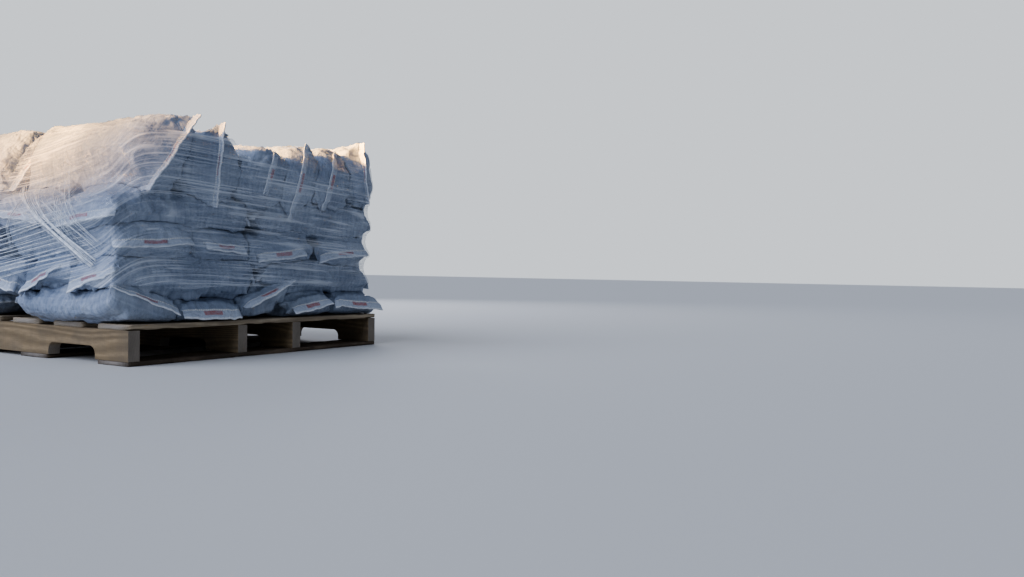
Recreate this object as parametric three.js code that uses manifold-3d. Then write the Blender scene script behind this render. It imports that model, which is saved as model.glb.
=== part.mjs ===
// A loaded pallet: forty-five filled sacks of woven plastic on a notched-stringer wooden pallet, with
// stretch wrap round all but the lowest layer. Millimetres, +Z up, the pallet stands on z = 0.
// X runs across the four stringers, Y runs along them.
import * as THREE from 'three';
import { mergeVertices } from 'three/addons/utils/BufferGeometryUtils.js';
import Module from 'manifold-3d';

const wasm = await Module();
wasm.setup();

// Pallet: 42 x 48 inches, four stringers with two fork notches each
const PALLET_WIDTH = 1067;
const PALLET_LENGTH = 1219;
const STRINGER_WIDTH = 38;
const STRINGER_HEIGHT = 89;
const INNER_STRINGER_X = 119;
const NOTCH_LENGTH = 229;
const NOTCH_DEPTH = 38;
const NOTCH_FROM_END = 152;
const NOTCH_CORNER = 25;
const NOTCH_ARC_STEPS = 4;
const BOARD_WIDTH = 140;
const TOP_BOARD_THICKNESS = 16;
const TOP_BOARD_COUNT = 6;
const BOTTOM_BOARD_THICKNESS = 13;
const BOTTOM_BOARD_CENTRES = [-539.5, -151.5, 151.5, 539.5];
const DECK_TOP = BOTTOM_BOARD_THICKNESS + STRINGER_HEIGHT + TOP_BOARD_THICKNESS;

// Sack: a woven tube sewn flat at both ends. A filled section keeps the girth of the flat one.
const HEM_DEPTH = 18;
const HEM_THICKNESS = 7;
const SHOULDER = 84;
const SECTION_POINTS = 10;
const SECTION_SQUARENESS = 0.72;
const GIRTH_LOSS = Math.PI / 2 - 1;
const SHORT_SHOULDER = 46;
const SHOULDER_SHARES = [0, 0.12, 0.42, 1];
const FOLD_STANDOFF = 4;
const TWIST_FADE = 1.6;
const LIFT_FADE = 2.4;
const GAP = 0.4;

// Stretch wrap: a tube drawn tight round the load
const WRAP_FROM = 226;
const WRAP_TO = 690;
const WRAP_LEVELS = 30;
const WRAP_DIRECTIONS = 36;
const WRAP_THICKNESS = 1.2;
const WRAP_CLEARANCE = 0.5;

const wood = (colour) => new THREE.MeshStandardMaterial({ color: colour, roughness: 0.85, metalness: 0 });
const woven = (colour) => new THREE.MeshStandardMaterial({ color: colour, roughness: 0.6, metalness: 0 });
const film = () => {
  const look = { color: '#d9e2ea', roughness: 0.2, metalness: 0, transparent: true, opacity: 0.3 };
  return new THREE.MeshStandardMaterial(look);
};

function board(name, thickness, underside, y, colour) {
  const mesh = new THREE.Mesh(new THREE.BoxGeometry(PALLET_WIDTH, BOARD_WIDTH, thickness), wood(colour));
  mesh.name = name;
  mesh.position.set(0, y, underside + thickness / 2);
  return mesh;
}

// Side outline of a stringer, with the notches open at the bottom and round in their upper corners
function stringerOutline() {
  const half = PALLET_LENGTH / 2;
  const outline = new THREE.Shape();
  outline.moveTo(-half, 0);
  for (const start of [-half + NOTCH_FROM_END, half - NOTCH_FROM_END - NOTCH_LENGTH]) {
    const end = start + NOTCH_LENGTH;
    const shoulderHeight = NOTCH_DEPTH - NOTCH_CORNER;
    outline.lineTo(start, 0);
    outline.lineTo(start, shoulderHeight);
    outline.absarc(start + NOTCH_CORNER, shoulderHeight, NOTCH_CORNER, Math.PI, Math.PI / 2, true);
    outline.absarc(end - NOTCH_CORNER, shoulderHeight, NOTCH_CORNER, Math.PI / 2, 0, true);
    outline.lineTo(end, 0);
  }
  outline.lineTo(half, 0);
  outline.lineTo(half, STRINGER_HEIGHT);
  outline.lineTo(-half, STRINGER_HEIGHT);
  outline.closePath();
  return outline;
}

function stringer(name, x, colour) {
  const settings = { depth: STRINGER_WIDTH, bevelEnabled: false, curveSegments: NOTCH_ARC_STEPS };
  const geometry = new THREE.ExtrudeGeometry(stringerOutline(), settings);
  // The outline's x and y become Y and Z, and the extrusion runs along X
  const alongY = new THREE.Vector3(0, 1, 0);
  const up = new THREE.Vector3(0, 0, 1);
  const across = new THREE.Vector3(1, 0, 0);
  geometry.applyMatrix4(new THREE.Matrix4().makeBasis(alongY, up, across));
  const mesh = new THREE.Mesh(geometry, wood(colour));
  mesh.name = name;
  mesh.position.set(x - STRINGER_WIDTH / 2, 0, BOTTOM_BOARD_THICKNESS);
  return mesh;
}

function pallet() {
  const group = new THREE.Group();
  const outerX = (PALLET_WIDTH - STRINGER_WIDTH) / 2;
  [-outerX, -INNER_STRINGER_X, INNER_STRINGER_X, outerX].forEach((x, i) => {
    group.add(stringer(`stringer_${i + 1}`, x, '#a98d68'));
  });
  BOTTOM_BOARD_CENTRES.forEach((y, i) => {
    group.add(board(`bottom_board_${i + 1}`, BOTTOM_BOARD_THICKNESS, 0, y, '#6d5a4b'));
  });
  const topZ = DECK_TOP - TOP_BOARD_THICKNESS;
  const pitch = (PALLET_LENGTH - BOARD_WIDTH) / (TOP_BOARD_COUNT - 1);
  for (let i = 0; i < TOP_BOARD_COUNT; i++) {
    const y = -(PALLET_LENGTH - BOARD_WIDTH) / 2 + i * pitch;
    group.add(board(`deck_board_${i + 1}`, TOP_BOARD_THICKNESS, topZ, y, '#8d7459'));
  }
  return group;
}

const degrees = THREE.MathUtils.degToRad;

// A sewn end, turned about the sack's length by `twist` degrees, moved through the sack by `lift` and
// across it by `slide`. `tuck` is the share of the hem's width that is folded away at its corners,
// `shoulder` the length over which the sack fills out, and `fold` the side, +1 or -1 through the sack,
// to which the hem is bent flat against the end.
function end(twist = 0, lift = 0, { slide = 0, tuck = 0, shoulder = SHOULDER, fold = 0 } = {}) {
  return { twist: degrees(twist), lift, slide, tuck, shoulder, fold };
}

// How full a section is at a share of the shoulder behind the seam: 0 at the seam, 1 behind the shoulder
function fullness(share) {
  const rest = 1 - Math.min(Math.max(share, 0), 1);
  return Math.sqrt(1 - rest * rest);
}

// Closed surface of a sack. Local x runs from sewn end to sewn end, y across, z through it. An end's
// twist and lift fade out towards the middle. `grow` moves the surface and the walls out by that much,
// for cutting what rests on the sack.
function sackGeometry(sack, grow = 0) {
  const halfLength = sack.length / 2;
  const [near, far] = sack.ends;
  const behindHem = (sewn, side) => {
    const depths = [-HEM_DEPTH, ...SHOULDER_SHARES.map((share) => share * sewn.shoulder)];
    return depths.map((depth) => ({ depth, sewn, side }));
  };
  const middle = { depth: halfLength - HEM_DEPTH, sewn: near, side: -1 };
  const stations = [...behindHem(near, -1), middle, ...behindHem(far, 1).reverse()];

  const rotation = new THREE.Euler(sack.roll, sack.pitch ?? 0, sack.yaw, 'ZYX');
  const placement = new THREE.Matrix4().makeRotationFromEuler(rotation).setPosition(...sack.centre);
  const points = [];
  for (const { depth, sewn, side } of stations) {
    const full = fullness(depth / sewn.shoulder);
    const thickness = HEM_THICKNESS + (sack.thickness - HEM_THICKNESS) * full + 2 * grow;
    const kept = 1 - sewn.tuck * (1 - full);
    const width = (sack.flatWidth - GIRTH_LOSS * thickness) * kept + 2 * grow;
    const nearness = Math.max(0, 1 - (depth + HEM_DEPTH) / halfLength);
    const turn = sewn.twist * nearness ** TWIST_FADE;
    const lift = sewn.lift * nearness ** LIFT_FADE;
    const slide = sewn.slide * nearness ** LIFT_FADE;
    const inHem = depth < 0;
    const bent = inHem ? sewn.fold * (HEM_DEPTH - FOLD_STANDOFF) : 0;
    const behind = inHem && sewn.fold ? -FOLD_STANDOFF : depth;
    const along = (halfLength - HEM_DEPTH - behind + (inHem ? grow : 0)) * side;
    for (let k = 0; k < SECTION_POINTS; k++) {
      const angle = (2 * Math.PI * k) / SECTION_POINTS;
      const across = superellipse(Math.cos(angle)) * (width / 2);
      const through = superellipse(Math.sin(angle)) * (thickness / 2) + bent;
      const y = across * Math.cos(turn) - through * Math.sin(turn) + slide;
      const z = across * Math.sin(turn) + through * Math.cos(turn) + lift;
      const point = new THREE.Vector3(along, y, z).applyMatrix4(placement);
      sack.walls.forEach((wall) => keepBehind(point, wall, grow));
      points.push(point);
    }
  }
  return skin(points, stations.length, SECTION_POINTS);
}

function superellipse(value) {
  return Math.sign(value) * Math.abs(value) ** SECTION_SQUARENESS;
}

// A wall is a plane that a neighbour or the deck presses flat: normal and distance from the origin
function keepBehind(point, wall, grow) {
  const beyond = point.dot(wall.normal) - (wall.distance - GAP / 2 + grow);
  if (beyond > 0) point.addScaledVector(wall.normal, -beyond);
}

// Triangles over rings of points, with a fan over each end ring
function skin(points, rings, around) {
  const position = new Float32Array(points.length * 3);
  points.forEach((point, i) => point.toArray(position, i * 3));
  const index = [];
  for (let ring = 0; ring + 1 < rings; ring++) {
    for (let k = 0; k < around; k++) {
      const a = ring * around + k;
      const b = ring * around + ((k + 1) % around);
      index.push(a, b + around, a + around, a, b, b + around);
    }
  }
  for (let k = 1; k + 1 < around; k++) {
    const last = (rings - 1) * around;
    index.push(0, k + 1, k);
    index.push(last, last + k, last + k + 1);
  }
  const geometry = new THREE.BufferGeometry();
  geometry.setAttribute('position', new THREE.BufferAttribute(position, 3));
  geometry.setIndex(index);
  return geometry;
}

function solidOf(geometry) {
  const merged = mergeVertices(geometry, 1e-4);
  const triVerts = new Uint32Array(merged.index.array);
  const vertProperties = merged.attributes.position.array;
  return new wasm.Manifold(new wasm.Mesh({ numProp: 3, vertProperties, triVerts }));
}

function geometryOf(solid) {
  const { vertProperties, triVerts } = solid.getMesh();
  const geometry = new THREE.BufferGeometry();
  geometry.setAttribute('position', new THREE.BufferAttribute(Float32Array.from(vertProperties), 3));
  geometry.setIndex([...triVerts]);
  return geometry;
}

// Kinds of ends: round and blunt, drawn under by the wrap, well filled, and on a sack that stands on
// edge the hem folded flat to one side or left to stand out
const BLUNT = { tuck: 0.3, shoulder: SHORT_SHOULDER };
const TUCKED_UNDER = { tuck: 0.25, shoulder: SHORT_SHOULDER, fold: -1 };
const FULL = { shoulder: 60 };
const folded = (tuck, slide) => ({ tuck, slide, shoulder: 32, fold: -1 });
const spread = (tuck, slide) => ({ tuck, slide, shoulder: SHORT_SHOULDER });

// Rows of sacks lying flat. `edges` are the cell borders across the row, `span` the reach of the sewn
// ends along it, `yaw` each sack's small turn, `sag` how far one sinks between those below it, `inset`
// how much shorter one stays on the inside, `meets` the end of the span, if any, where the sacks butt
// against the next row's, and `ends` the sewn ends on the outside, which is near in front and left rows.
const FLAT_ROWS = [
  { layer: 1, name: 'front', along: 'y', span: [-624, -52], edges: [-572, -358, -120, 92, 296, 562],
    flat: 300, thick: [105, 104, 102, 100, 108], yaw: [1, 0, -3, 1, 2], inset: [56, 0, 0, 0, 0],
    ends: [end(21, 10), end(2, -34), end(-23, 24), end(-7, -18), end(4, -22)] },
  { layer: 1, name: 'back', along: 'y', span: [46, 618], edges: [-566, -282, 4, 288, 568], flat: 342,
    thick: [106, 104, 105, 103], yaw: [-1, 2, 0, -2],
    ends: [end(-11, -8), end(5, -22), end(-4, -14), end(10, -10)] },
  { layer: 2, name: 'left', along: 'x', span: [-598, -46], meets: 1, edges: [-606, -382, -152, 102, 354, 604],
    flat: 304, thick: [136, 110, 108, 106, 108], yaw: [-1, 1, 1, 2, -1], sag: [28, 4, 14, 0, 0],
    ends: [end(-14, 2), end(-22, -10), end(8, -14), end(-6, -14), end(10, -8)] },
  { layer: 2, name: 'right', along: 'x', span: [-46, 528], meets: 0, edges: [-604, -362, -120, 122, 364, 606],
    flat: 304, thick: [106, 108, 106, 107, 106], yaw: [1, -2, 1, -1, 1], sag: [0, 0, 14, 0, 0],
    ends: [end(4, -22, TUCKED_UNDER), end(-8, -16, TUCKED_UNDER), end(4, -24, BLUNT),
      end(-8, -18, TUCKED_UNDER), end(8, -16, BLUNT)] },
  { layer: 3, name: 'front', along: 'y', span: [-618, -44], edges: [-572, -292, -84, 190, 524], flat: 340,
    thick: [128, 112, 112, 116], yaw: [-1, 2, -1, 1],
    ends: [end(-4, -12, FULL), end(4, -12, FULL), end(-8, -26, FULL), end(-6, -20, FULL)] },
  { layer: 3, name: 'back', along: 'y', span: [40, 614], edges: [-560, -280, 0, 280, 556], flat: 340,
    thick: [108, 110, 107, 109], yaw: [1, -1, 2, 0],
    ends: [end(8, -16, FULL), end(-10, -10, FULL), end(5, -18, FULL), end(-6, -12, FULL)] },
  { layer: 4, name: 'left', along: 'x', span: [-602, -58], meets: 1, edges: [-600, -304, -4, 296, 596],
    flat: 356, thick: [140, 112, 112, 114], yaw: [1, -1, 1, -2], sag: [30, 0, 0, 0],
    ends: [end(-8, -22, FULL), end(6, -26, FULL), end(-5, -30, FULL), end(10, -24, FULL)] },
  { layer: 4, name: 'right', along: 'x', span: [-58, 536], meets: 0, edges: [-602, -302, -2, 298, 594],
    flat: 356, thick: [122, 112, 110, 112], yaw: [-2, 1, 0, 1],
    ends: [end(-5, -20, TUCKED_UNDER), end(6, -20, TUCKED_UNDER), end(-4, -24, BLUNT),
      end(7, -18, TUCKED_UNDER)] },
];
const LAYER_UNDERSIDES = { 1: DECK_TOP - 4, 2: 209, 3: 307, 4: 403 };

// Rows of sacks standing on edge and leaning towards +X, like books. `edges` are the borders between
// them at the height `borderZ`, and `lean` is each border's tilt. `tilt` and `centreZ` are each sack's.
const EDGE_ROWS = [
  { layer: 5, name: 'front', span: [-622, -56], borderZ: 606, edges: [-506, -326, -124, 62, 200, 366, 562],
    lean: [36, 22, 10, 18, 17, 5, -8], tilt: [22, 6, 18, 17, 17, -6], thick: [206, 204, 182, 158, 176, 192],
    centreZ: [610, 600, 590, 598, 610, 624], flats: [340, 334, 328, 342, 342, 350],
    ends: [end(13, 16, { slide: 20, tuck: 0.06, shoulder: 76 }), end(0, -2, spread(0.14, 0)),
      end(2, 24, folded(0.34, -20)), end(0, 6, folded(0.16, -20)), end(0, 4, folded(0.34, -14)),
      end(-4, -10, spread(0.3, 22))] },
  { layer: 5, name: 'back', span: [46, 616], borderZ: 606, edges: [-524, -262, -10, 240, 500],
    lean: [40, 40, 38, 40, 36], tilt: [34, 38, 36, 34], thick: [200, 192, 196, 194],
    centreZ: [616, 604, 610, 600], flats: [350, 344, 346, 350],
    ends: [end(8, -6, spread(0.1, 10)), end(4, 4, folded(0.2, -10)), end(10, -8, spread(0.14, 4)),
      end(2, 4, folded(0.26, -6))] },
];

// A row's two sewn ends for one sack: the one on the outside of the load, and a blunt one on the inside
function endsOf(row, outer) {
  const inner = end(0, 0, BLUNT);
  return ['front', 'left'].includes(row.name) ? [outer, inner] : [inner, outer];
}

// A flat row's sacks press on each other at the cell borders, and the lowest ones on the deck
function flatSacks(row) {
  const acrossAxis = row.along === 'y' ? new THREE.Vector3(1, 0, 0) : new THREE.Vector3(0, 1, 0);
  return row.thick.map((thickness, i) => {
    const inset = row.inset?.[i] ?? 0;
    const length = row.span[1] - row.span[0] - inset;
    const middle = (row.span[0] + row.span[1] - inset) / 2;
    const across = (row.edges[i] + row.edges[i + 1]) / 2;
    const height = LAYER_UNDERSIDES[row.layer] + thickness / 2 - (row.sag?.[i] ?? 0);
    const walls = [];
    if (i > 0) walls.push({ normal: acrossAxis.clone().negate(), distance: -row.edges[i] });
    if (i + 1 < row.thick.length) walls.push({ normal: acrossAxis, distance: row.edges[i + 1] });
    if (row.meets !== undefined) {
      const sign = row.meets ? 1 : -1;
      walls.push({ normal: new THREE.Vector3(sign, 0, 0), distance: sign * row.span[row.meets] });
    }
    if (row.layer === 1) walls.push({ normal: new THREE.Vector3(0, 0, -1), distance: -DECK_TOP });
    return {
      name: `sack_${row.layer}_${row.name}_${i + 1}`,
      centre: row.along === 'y' ? [across, middle, height] : [middle, across, height],
      yaw: degrees((row.along === 'y' ? 90 : 0) + row.yaw[i]),
      roll: 0,
      length,
      thickness,
      flatWidth: row.flat,
      ends: endsOf(row, row.ends[i]),
      walls,
      layer: row.layer,
    };
  });
}

function edgeSacks(row) {
  const length = row.span[1] - row.span[0];
  const middle = (row.span[0] + row.span[1]) / 2;
  const wallAt = (i, sign) => {
    const lean = degrees(row.lean[i]);
    const normal = new THREE.Vector3(Math.cos(lean), 0, -Math.sin(lean)).multiplyScalar(sign);
    return { normal, distance: normal.dot(new THREE.Vector3(row.edges[i], 0, row.borderZ)) };
  };
  return row.thick.map((thickness, i) => {
    const walls = [];
    if (i > 0) walls.push(wallAt(i, -1));
    if (i + 1 < row.thick.length) walls.push(wallAt(i + 1, 1));
    return {
      name: `sack_${row.layer}_${row.name}_${i + 1}`,
      centre: [(row.edges[i] + row.edges[i + 1]) / 2, middle, row.centreZ[i]],
      yaw: degrees(90),
      roll: degrees(90 + row.tilt[i]),
      length,
      thickness,
      flatWidth: row.flats[i],
      ends: endsOf(row, row.ends[i]),
      walls,
      layer: row.layer,
    };
  });
}

// Each sack settles on the layer below: what lies under it is cut out of its underside
function load() {
  const group = new THREE.Group();
  const sacks = [...FLAT_ROWS.flatMap(flatSacks), ...EDGE_ROWS.flatMap(edgeSacks)];
  const colours = ['#c3cad6', '#b7c0cf', '#ccd1da', '#bcc4d0'];
  sacks.forEach((sack, i) => {
    let solid = solidOf(sackGeometry(sack));
    const box = new THREE.Box3().setFromBufferAttribute(geometryOf(solid).attributes.position);
    for (const lower of sacks.filter((other) => other.layer < sack.layer)) {
      const cutter = sackGeometry(lower, GAP);
      cutter.computeBoundingBox();
      if (cutter.boundingBox.intersectsBox(box)) solid = solid.subtract(solidOf(cutter));
    }
    const body = solid.decompose().sort((a, b) => b.volume() - a.volume())[0];
    const geometry = geometryOf(body);
    geometry.translate(...sack.centre.map((value) => -value));
    const mesh = new THREE.Mesh(geometry, woven(colours[i % colours.length]));
    mesh.name = sack.name;
    mesh.position.set(...sack.centre);
    group.add(mesh);
  });
  return group;
}

// Points of the load between two heights
function pointsBetween(group, low, high) {
  group.updateMatrixWorld(true);
  const found = [];
  group.children.forEach((mesh) => {
    const { position } = mesh.geometry.attributes;
    const index = mesh.geometry.index.array;
    const corner = (n) => new THREE.Vector3().fromBufferAttribute(position, n).applyMatrix4(mesh.matrixWorld);
    for (let i = 0; i < index.length; i += 3) {
      const triangle = [corner(index[i]), corner(index[i + 1]), corner(index[i + 2])];
      triangle.forEach((from, k) => clipEdge(from, triangle[(k + 1) % 3], low, high, found));
    }
  });
  return found;
}

function clipEdge(from, to, low, high, found) {
  const rise = to.z - from.z;
  const inside = (point) => point.z >= low && point.z <= high;
  if (inside(from)) found.push(from);
  for (const level of [low, high]) {
    const share = (level - from.z) / rise;
    if (rise !== 0 && share > 0 && share < 1) found.push(from.clone().lerp(to, share));
  }
}

// The wrap's outline at a level is the tight belt round everything near that level, so it swells over
// each layer and draws in between two. Its corners lie where neighbouring tangent lines meet.
function wrapRing(points, offset) {
  const step = (2 * Math.PI) / WRAP_DIRECTIONS;
  const reach = Array.from({ length: WRAP_DIRECTIONS }, (_, k) => {
    const direction = new THREE.Vector3(Math.cos(k * step), Math.sin(k * step), 0);
    return Math.max(...points.map((point) => point.dot(direction))) + offset;
  });
  return reach.map((here, k) => {
    const next = reach[(k + 1) % WRAP_DIRECTIONS];
    const slide = (next - here * Math.cos(step)) / Math.sin(step);
    return new THREE.Vector2(here, slide).rotateAround(new THREE.Vector2(), k * step);
  });
}

function wrap(group) {
  const rise = (WRAP_TO - WRAP_FROM) / (WRAP_LEVELS - 1);
  const inner = [];
  const outer = [];
  for (let level = 0; level < WRAP_LEVELS; level++) {
    const z = WRAP_FROM + level * rise;
    const near = pointsBetween(group, z - rise, z + rise);
    const ring = (offset) => wrapRing(near, offset).map(({ x, y }) => new THREE.Vector3(x, y, z));
    inner.push(...ring(WRAP_CLEARANCE));
    outer.push(...ring(WRAP_CLEARANCE + WRAP_THICKNESS));
  }
  const mesh = new THREE.Mesh(tube(inner, outer, WRAP_LEVELS, WRAP_DIRECTIONS), film());
  mesh.name = 'stretch_wrap';
  return mesh;
}

// A tube wall between an inner and an outer set of rings
function tube(inner, outer, rings, around) {
  const points = [...outer, ...inner];
  const position = new Float32Array(points.length * 3);
  points.forEach((point, i) => point.toArray(position, i * 3));
  const index = [];
  const inside = outer.length;
  const quad = (a, b, c, d) => index.push(a, b, c, a, c, d);
  for (let k = 0; k < around; k++) {
    const next = (k + 1) % around;
    for (let ring = 0; ring + 1 < rings; ring++) {
      const low = ring * around;
      const high = low + around;
      quad(low + k, low + next, high + next, high + k);
      quad(inside + low + next, inside + low + k, inside + high + k, inside + high + next);
    }
    const top = (rings - 1) * around;
    quad(k, inside + k, inside + next, next);
    quad(top + next, inside + top + next, inside + top + k, top + k);
  }
  const geometry = new THREE.BufferGeometry();
  geometry.setAttribute('position', new THREE.BufferAttribute(position, 3));
  geometry.setIndex(index);
  return geometry;
}

const sacks = load();
const object = new THREE.Group();
object.add(pallet(), sacks, wrap(sacks));

// The origin is the middle of the footprint
const footprint = new THREE.Box3().setFromObject(object, true).getCenter(new THREE.Vector3());
object.position.set(-footprint.x, -footprint.y, 0);

export default object;
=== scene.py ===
# %% [markdown]
# # A pallet of filled sacks
#
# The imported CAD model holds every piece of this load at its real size: a wooden pallet, forty-five
# sacks in five layers and the stretch wrap. This lesson dresses that model. Rigid wood keeps its CAD
# place and only gets softened edges and a finish. Each sack is soft, so its plain CAD solid is
# replaced by a cloth that was sewn flat, filled and simulated. The wrap is a thin skin pulled round
# the sacks as they lie.

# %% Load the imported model
import math

import bmesh
import bpy
import numpy as np
from mathutils import Matrix, Vector
from mathutils.bvhtree import BVHTree


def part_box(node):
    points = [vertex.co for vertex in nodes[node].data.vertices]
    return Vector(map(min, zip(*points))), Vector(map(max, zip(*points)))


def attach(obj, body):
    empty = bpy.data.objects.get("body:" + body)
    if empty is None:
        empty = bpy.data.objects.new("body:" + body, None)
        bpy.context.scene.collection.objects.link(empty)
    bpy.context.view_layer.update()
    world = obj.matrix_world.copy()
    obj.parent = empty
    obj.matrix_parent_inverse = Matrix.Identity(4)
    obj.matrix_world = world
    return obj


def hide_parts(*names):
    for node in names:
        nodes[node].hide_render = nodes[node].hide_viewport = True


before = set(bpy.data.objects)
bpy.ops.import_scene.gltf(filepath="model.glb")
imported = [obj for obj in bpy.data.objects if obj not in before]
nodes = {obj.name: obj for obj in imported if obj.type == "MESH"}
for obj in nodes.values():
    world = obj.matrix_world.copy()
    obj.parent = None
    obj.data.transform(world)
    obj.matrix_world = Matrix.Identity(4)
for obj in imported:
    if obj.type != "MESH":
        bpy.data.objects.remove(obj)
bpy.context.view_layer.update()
sack_names = sorted(name for name in nodes if name.startswith("sack_"))

# %% [markdown]
# ## The camera
#
# A camera can be aimed by hand, with a constraint, or from measured numbers. The numbers here were
# fitted to straight edges of the pallet and count from its middle, so the view has the same
# perspective: a low camera, turned 59 degrees from the fork openings towards the pallet's side.

# %% Camera
CAMERA_FROM_PALLET = Vector((-2.1097, -2.8085, 0.2835))
CAMERA_TURN = math.radians(59.0)
CAMERA_PITCH = math.radians(-1.02)
CAMERA_ROLL = math.radians(0.97)
FOCAL_PIXELS = 887.3
PICTURE_WIDTH = 1024
SENSOR_WIDTH = 36.0


def camera_axes(turn, pitch, roll):
    """Right, up and backward of a camera turned from +Y towards +X, tipped up by pitch, then rolled."""
    level_right = Vector((math.cos(turn), -math.sin(turn), 0))
    forward = Vector((math.sin(turn) * math.cos(pitch), math.cos(turn) * math.cos(pitch), math.sin(pitch)))
    level_up = level_right.cross(forward)
    right = level_right * math.cos(roll) + level_up * math.sin(roll)
    up = level_up * math.cos(roll) - level_right * math.sin(roll)
    return right, up, -forward


outer_stringers = [Vector(corner) for name in ("stringer_1", "stringer_4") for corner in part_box(name)]
pallet_middle = sum(outer_stringers, Vector()) / len(outer_stringers) * Vector((1, 1, 0))
camera = bpy.data.objects.new("camera", bpy.data.cameras.new("camera"))
bpy.context.scene.collection.objects.link(camera)
camera.data.sensor_width = SENSOR_WIDTH
camera.data.lens = FOCAL_PIXELS / PICTURE_WIDTH * SENSOR_WIDTH
camera.data.clip_start = 0.05
rotation = Matrix(camera_axes(CAMERA_TURN, CAMERA_PITCH, CAMERA_ROLL)).transposed()
camera.matrix_world = Matrix.Translation(pallet_middle + CAMERA_FROM_PALLET) @ rotation.to_4x4()
bpy.context.scene.camera = camera
print("lens", round(camera.data.lens, 2), "mm")

# %% [markdown]
# ## Colours and nodes
#
# A hex colour is written for the screen, with brightness bent by the sRGB curve, but a shader counts
# light. One function straightens every colour. A second one adds a node, sets its values and wires
# its inputs in one call. The nodes used most have short functions of their own, which hand on the
# node's output, so that a material reads as a list of what it is made of.

# %% Helpers for colours and nodes
def linear(hex_colour):
    """sRGB to linear light: below 0.04045 a straight line, above it the 2.4 power of the shifted value."""
    parts = [int(hex_colour[i:i + 2], 16) / 255 for i in (1, 3, 5)]
    return (*[c / 12.92 if c <= 0.04045 else ((c + 0.055) / 1.055) ** 2.4 for c in parts], 1.0)


def add_node(tree, kind, values=None, links=None, **settings):
    """Adds a node. Settings are its own properties. Values and links go to its inputs, by name or
    number."""
    node = tree.nodes.new(kind)
    for name, value in settings.items():
        setattr(node, name, value)
    for key, value in (values or {}).items():
        node.inputs[key].default_value = value
    for key, socket in (links or {}).items():
        tree.links.new(socket, node.inputs[key])
    return node


def new_material(name):
    """A material with an empty tree, its Principled shader and its output, wired together."""
    material = bpy.data.materials.new(name)
    material.use_nodes = True
    tree = material.node_tree
    tree.nodes.clear()
    shader = add_node(tree, "ShaderNodeBsdfPrincipled")
    add_node(tree, "ShaderNodeOutputMaterial", links={"Surface": shader.outputs[0]})
    return material, tree, shader


def ramp(tree, factor, stops):
    """A colour ramp through (place, hex colour) stops."""
    node = add_node(tree, "ShaderNodeValToRGB", links={"Fac": factor})
    elements = node.color_ramp.elements
    while len(elements) < len(stops):
        elements.new(0.5)
    for element, (place, colour) in zip(elements, stops):
        element.position = place
        element.color = linear(colour)
    return node.outputs["Color"]


def mapping(tree, vector, **inputs):
    """Coordinates that are moved, turned or stretched, with the Mapping node's inputs by name."""
    return add_node(tree, "ShaderNodeMapping", inputs, {"Vector": vector}).outputs[0]


def noise_at(tree, place, scale, detail, **inputs):
    """The value of a noise texture, from 0 to 1. Scale counts its patches per unit of place."""
    return add_node(tree, "ShaderNodeTexNoise", {"Scale": scale, "Detail": detail, **inputs},
                    {"Vector": place}).outputs["Fac"]


def mapped(tree, value, low, high, start=0.0, end=1.0, **settings):
    """Map Range: a value from low to high comes out from start to end, and goes past neither."""
    ranges = {"From Min": low, "From Max": high, "To Min": start, "To Max": end}
    return add_node(tree, "ShaderNodeMapRange", ranges, {0: value}, **settings).outputs[0]


def maths(tree, operation, *values):
    """The result of a Math node. Each value is a number or the output of another node."""
    node = add_node(tree, "ShaderNodeMath", operation=operation)
    for socket, value in zip(node.inputs, values):
        if isinstance(value, bpy.types.NodeSocket):
            tree.links.new(value, socket)
        else:
            socket.default_value = value
    return node.outputs[0]


def overlaid(tree, colour, share, hex_colour):
    """A colour with a plain one laid over it in a share from 0 to 1."""
    return add_node(tree, "ShaderNodeMix", {7: linear(hex_colour)}, {0: share, 6: colour},
                    data_type="RGBA").outputs[2]


def bumped(tree, height, strength, distance, under=None):
    """Relief by a Bump node, where a height of 1 stands for the distance in metres. It can lie on top
    of other relief."""
    links = {"Height": height} if under is None else {"Height": height, "Normal": under}
    return add_node(tree, "ShaderNodeBump", {"Strength": strength, "Distance": distance}, links).outputs[0]


print("a screen's middle grey is", round(linear("#808080")[0], 3), "of full light")

# %% [markdown]
# ## Floor and light
#
# The object stands on a plain pale floor. A broad light from above and the left does most of the work:
# it lights what faces up and leaves the hollows and the near side in soft shade, so the sacks read as
# round. A sun lamp with a very large disc is as soft as a big soft box and lights the floor evenly to
# the horizon. A small warm lamp, low on the left, skims the top sacks as an evening sun would. Its
# beam is narrow, and light linking keeps it off the floor, which stays plain. A third lamp, behind
# the load, brightens its far edges. The surround shines weakly from everywhere, but the camera sees it
# paler, which a light path can tell apart.

# %% Floor, surround and lamps
FLOOR_HALF = 40.0
FLOOR_COLOUR = "#cbcbc9"
SURROUND_COLOUR, BACKDROP_COLOUR = "#d3dcec", "#dfe4ea"
SURROUND_STRENGTH = 0.34

floor_mesh = bpy.data.meshes.new("floor")
floor_corners = [(sx * FLOOR_HALF, sy * FLOOR_HALF, 0) for sx, sy in ((-1, -1), (1, -1), (1, 1), (-1, 1))]
floor_mesh.from_pydata(floor_corners, [], [(0, 1, 2, 3)])
floor = bpy.data.objects.new("floor", floor_mesh)
bpy.context.scene.collection.objects.link(floor)
floor_paint, _, floor_shader = new_material("floor_paint")
floor_shader.inputs["Base Color"].default_value = linear(FLOOR_COLOUR)
floor_shader.inputs["Roughness"].default_value = 0.8
floor_mesh.materials.append(floor_paint)

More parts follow.
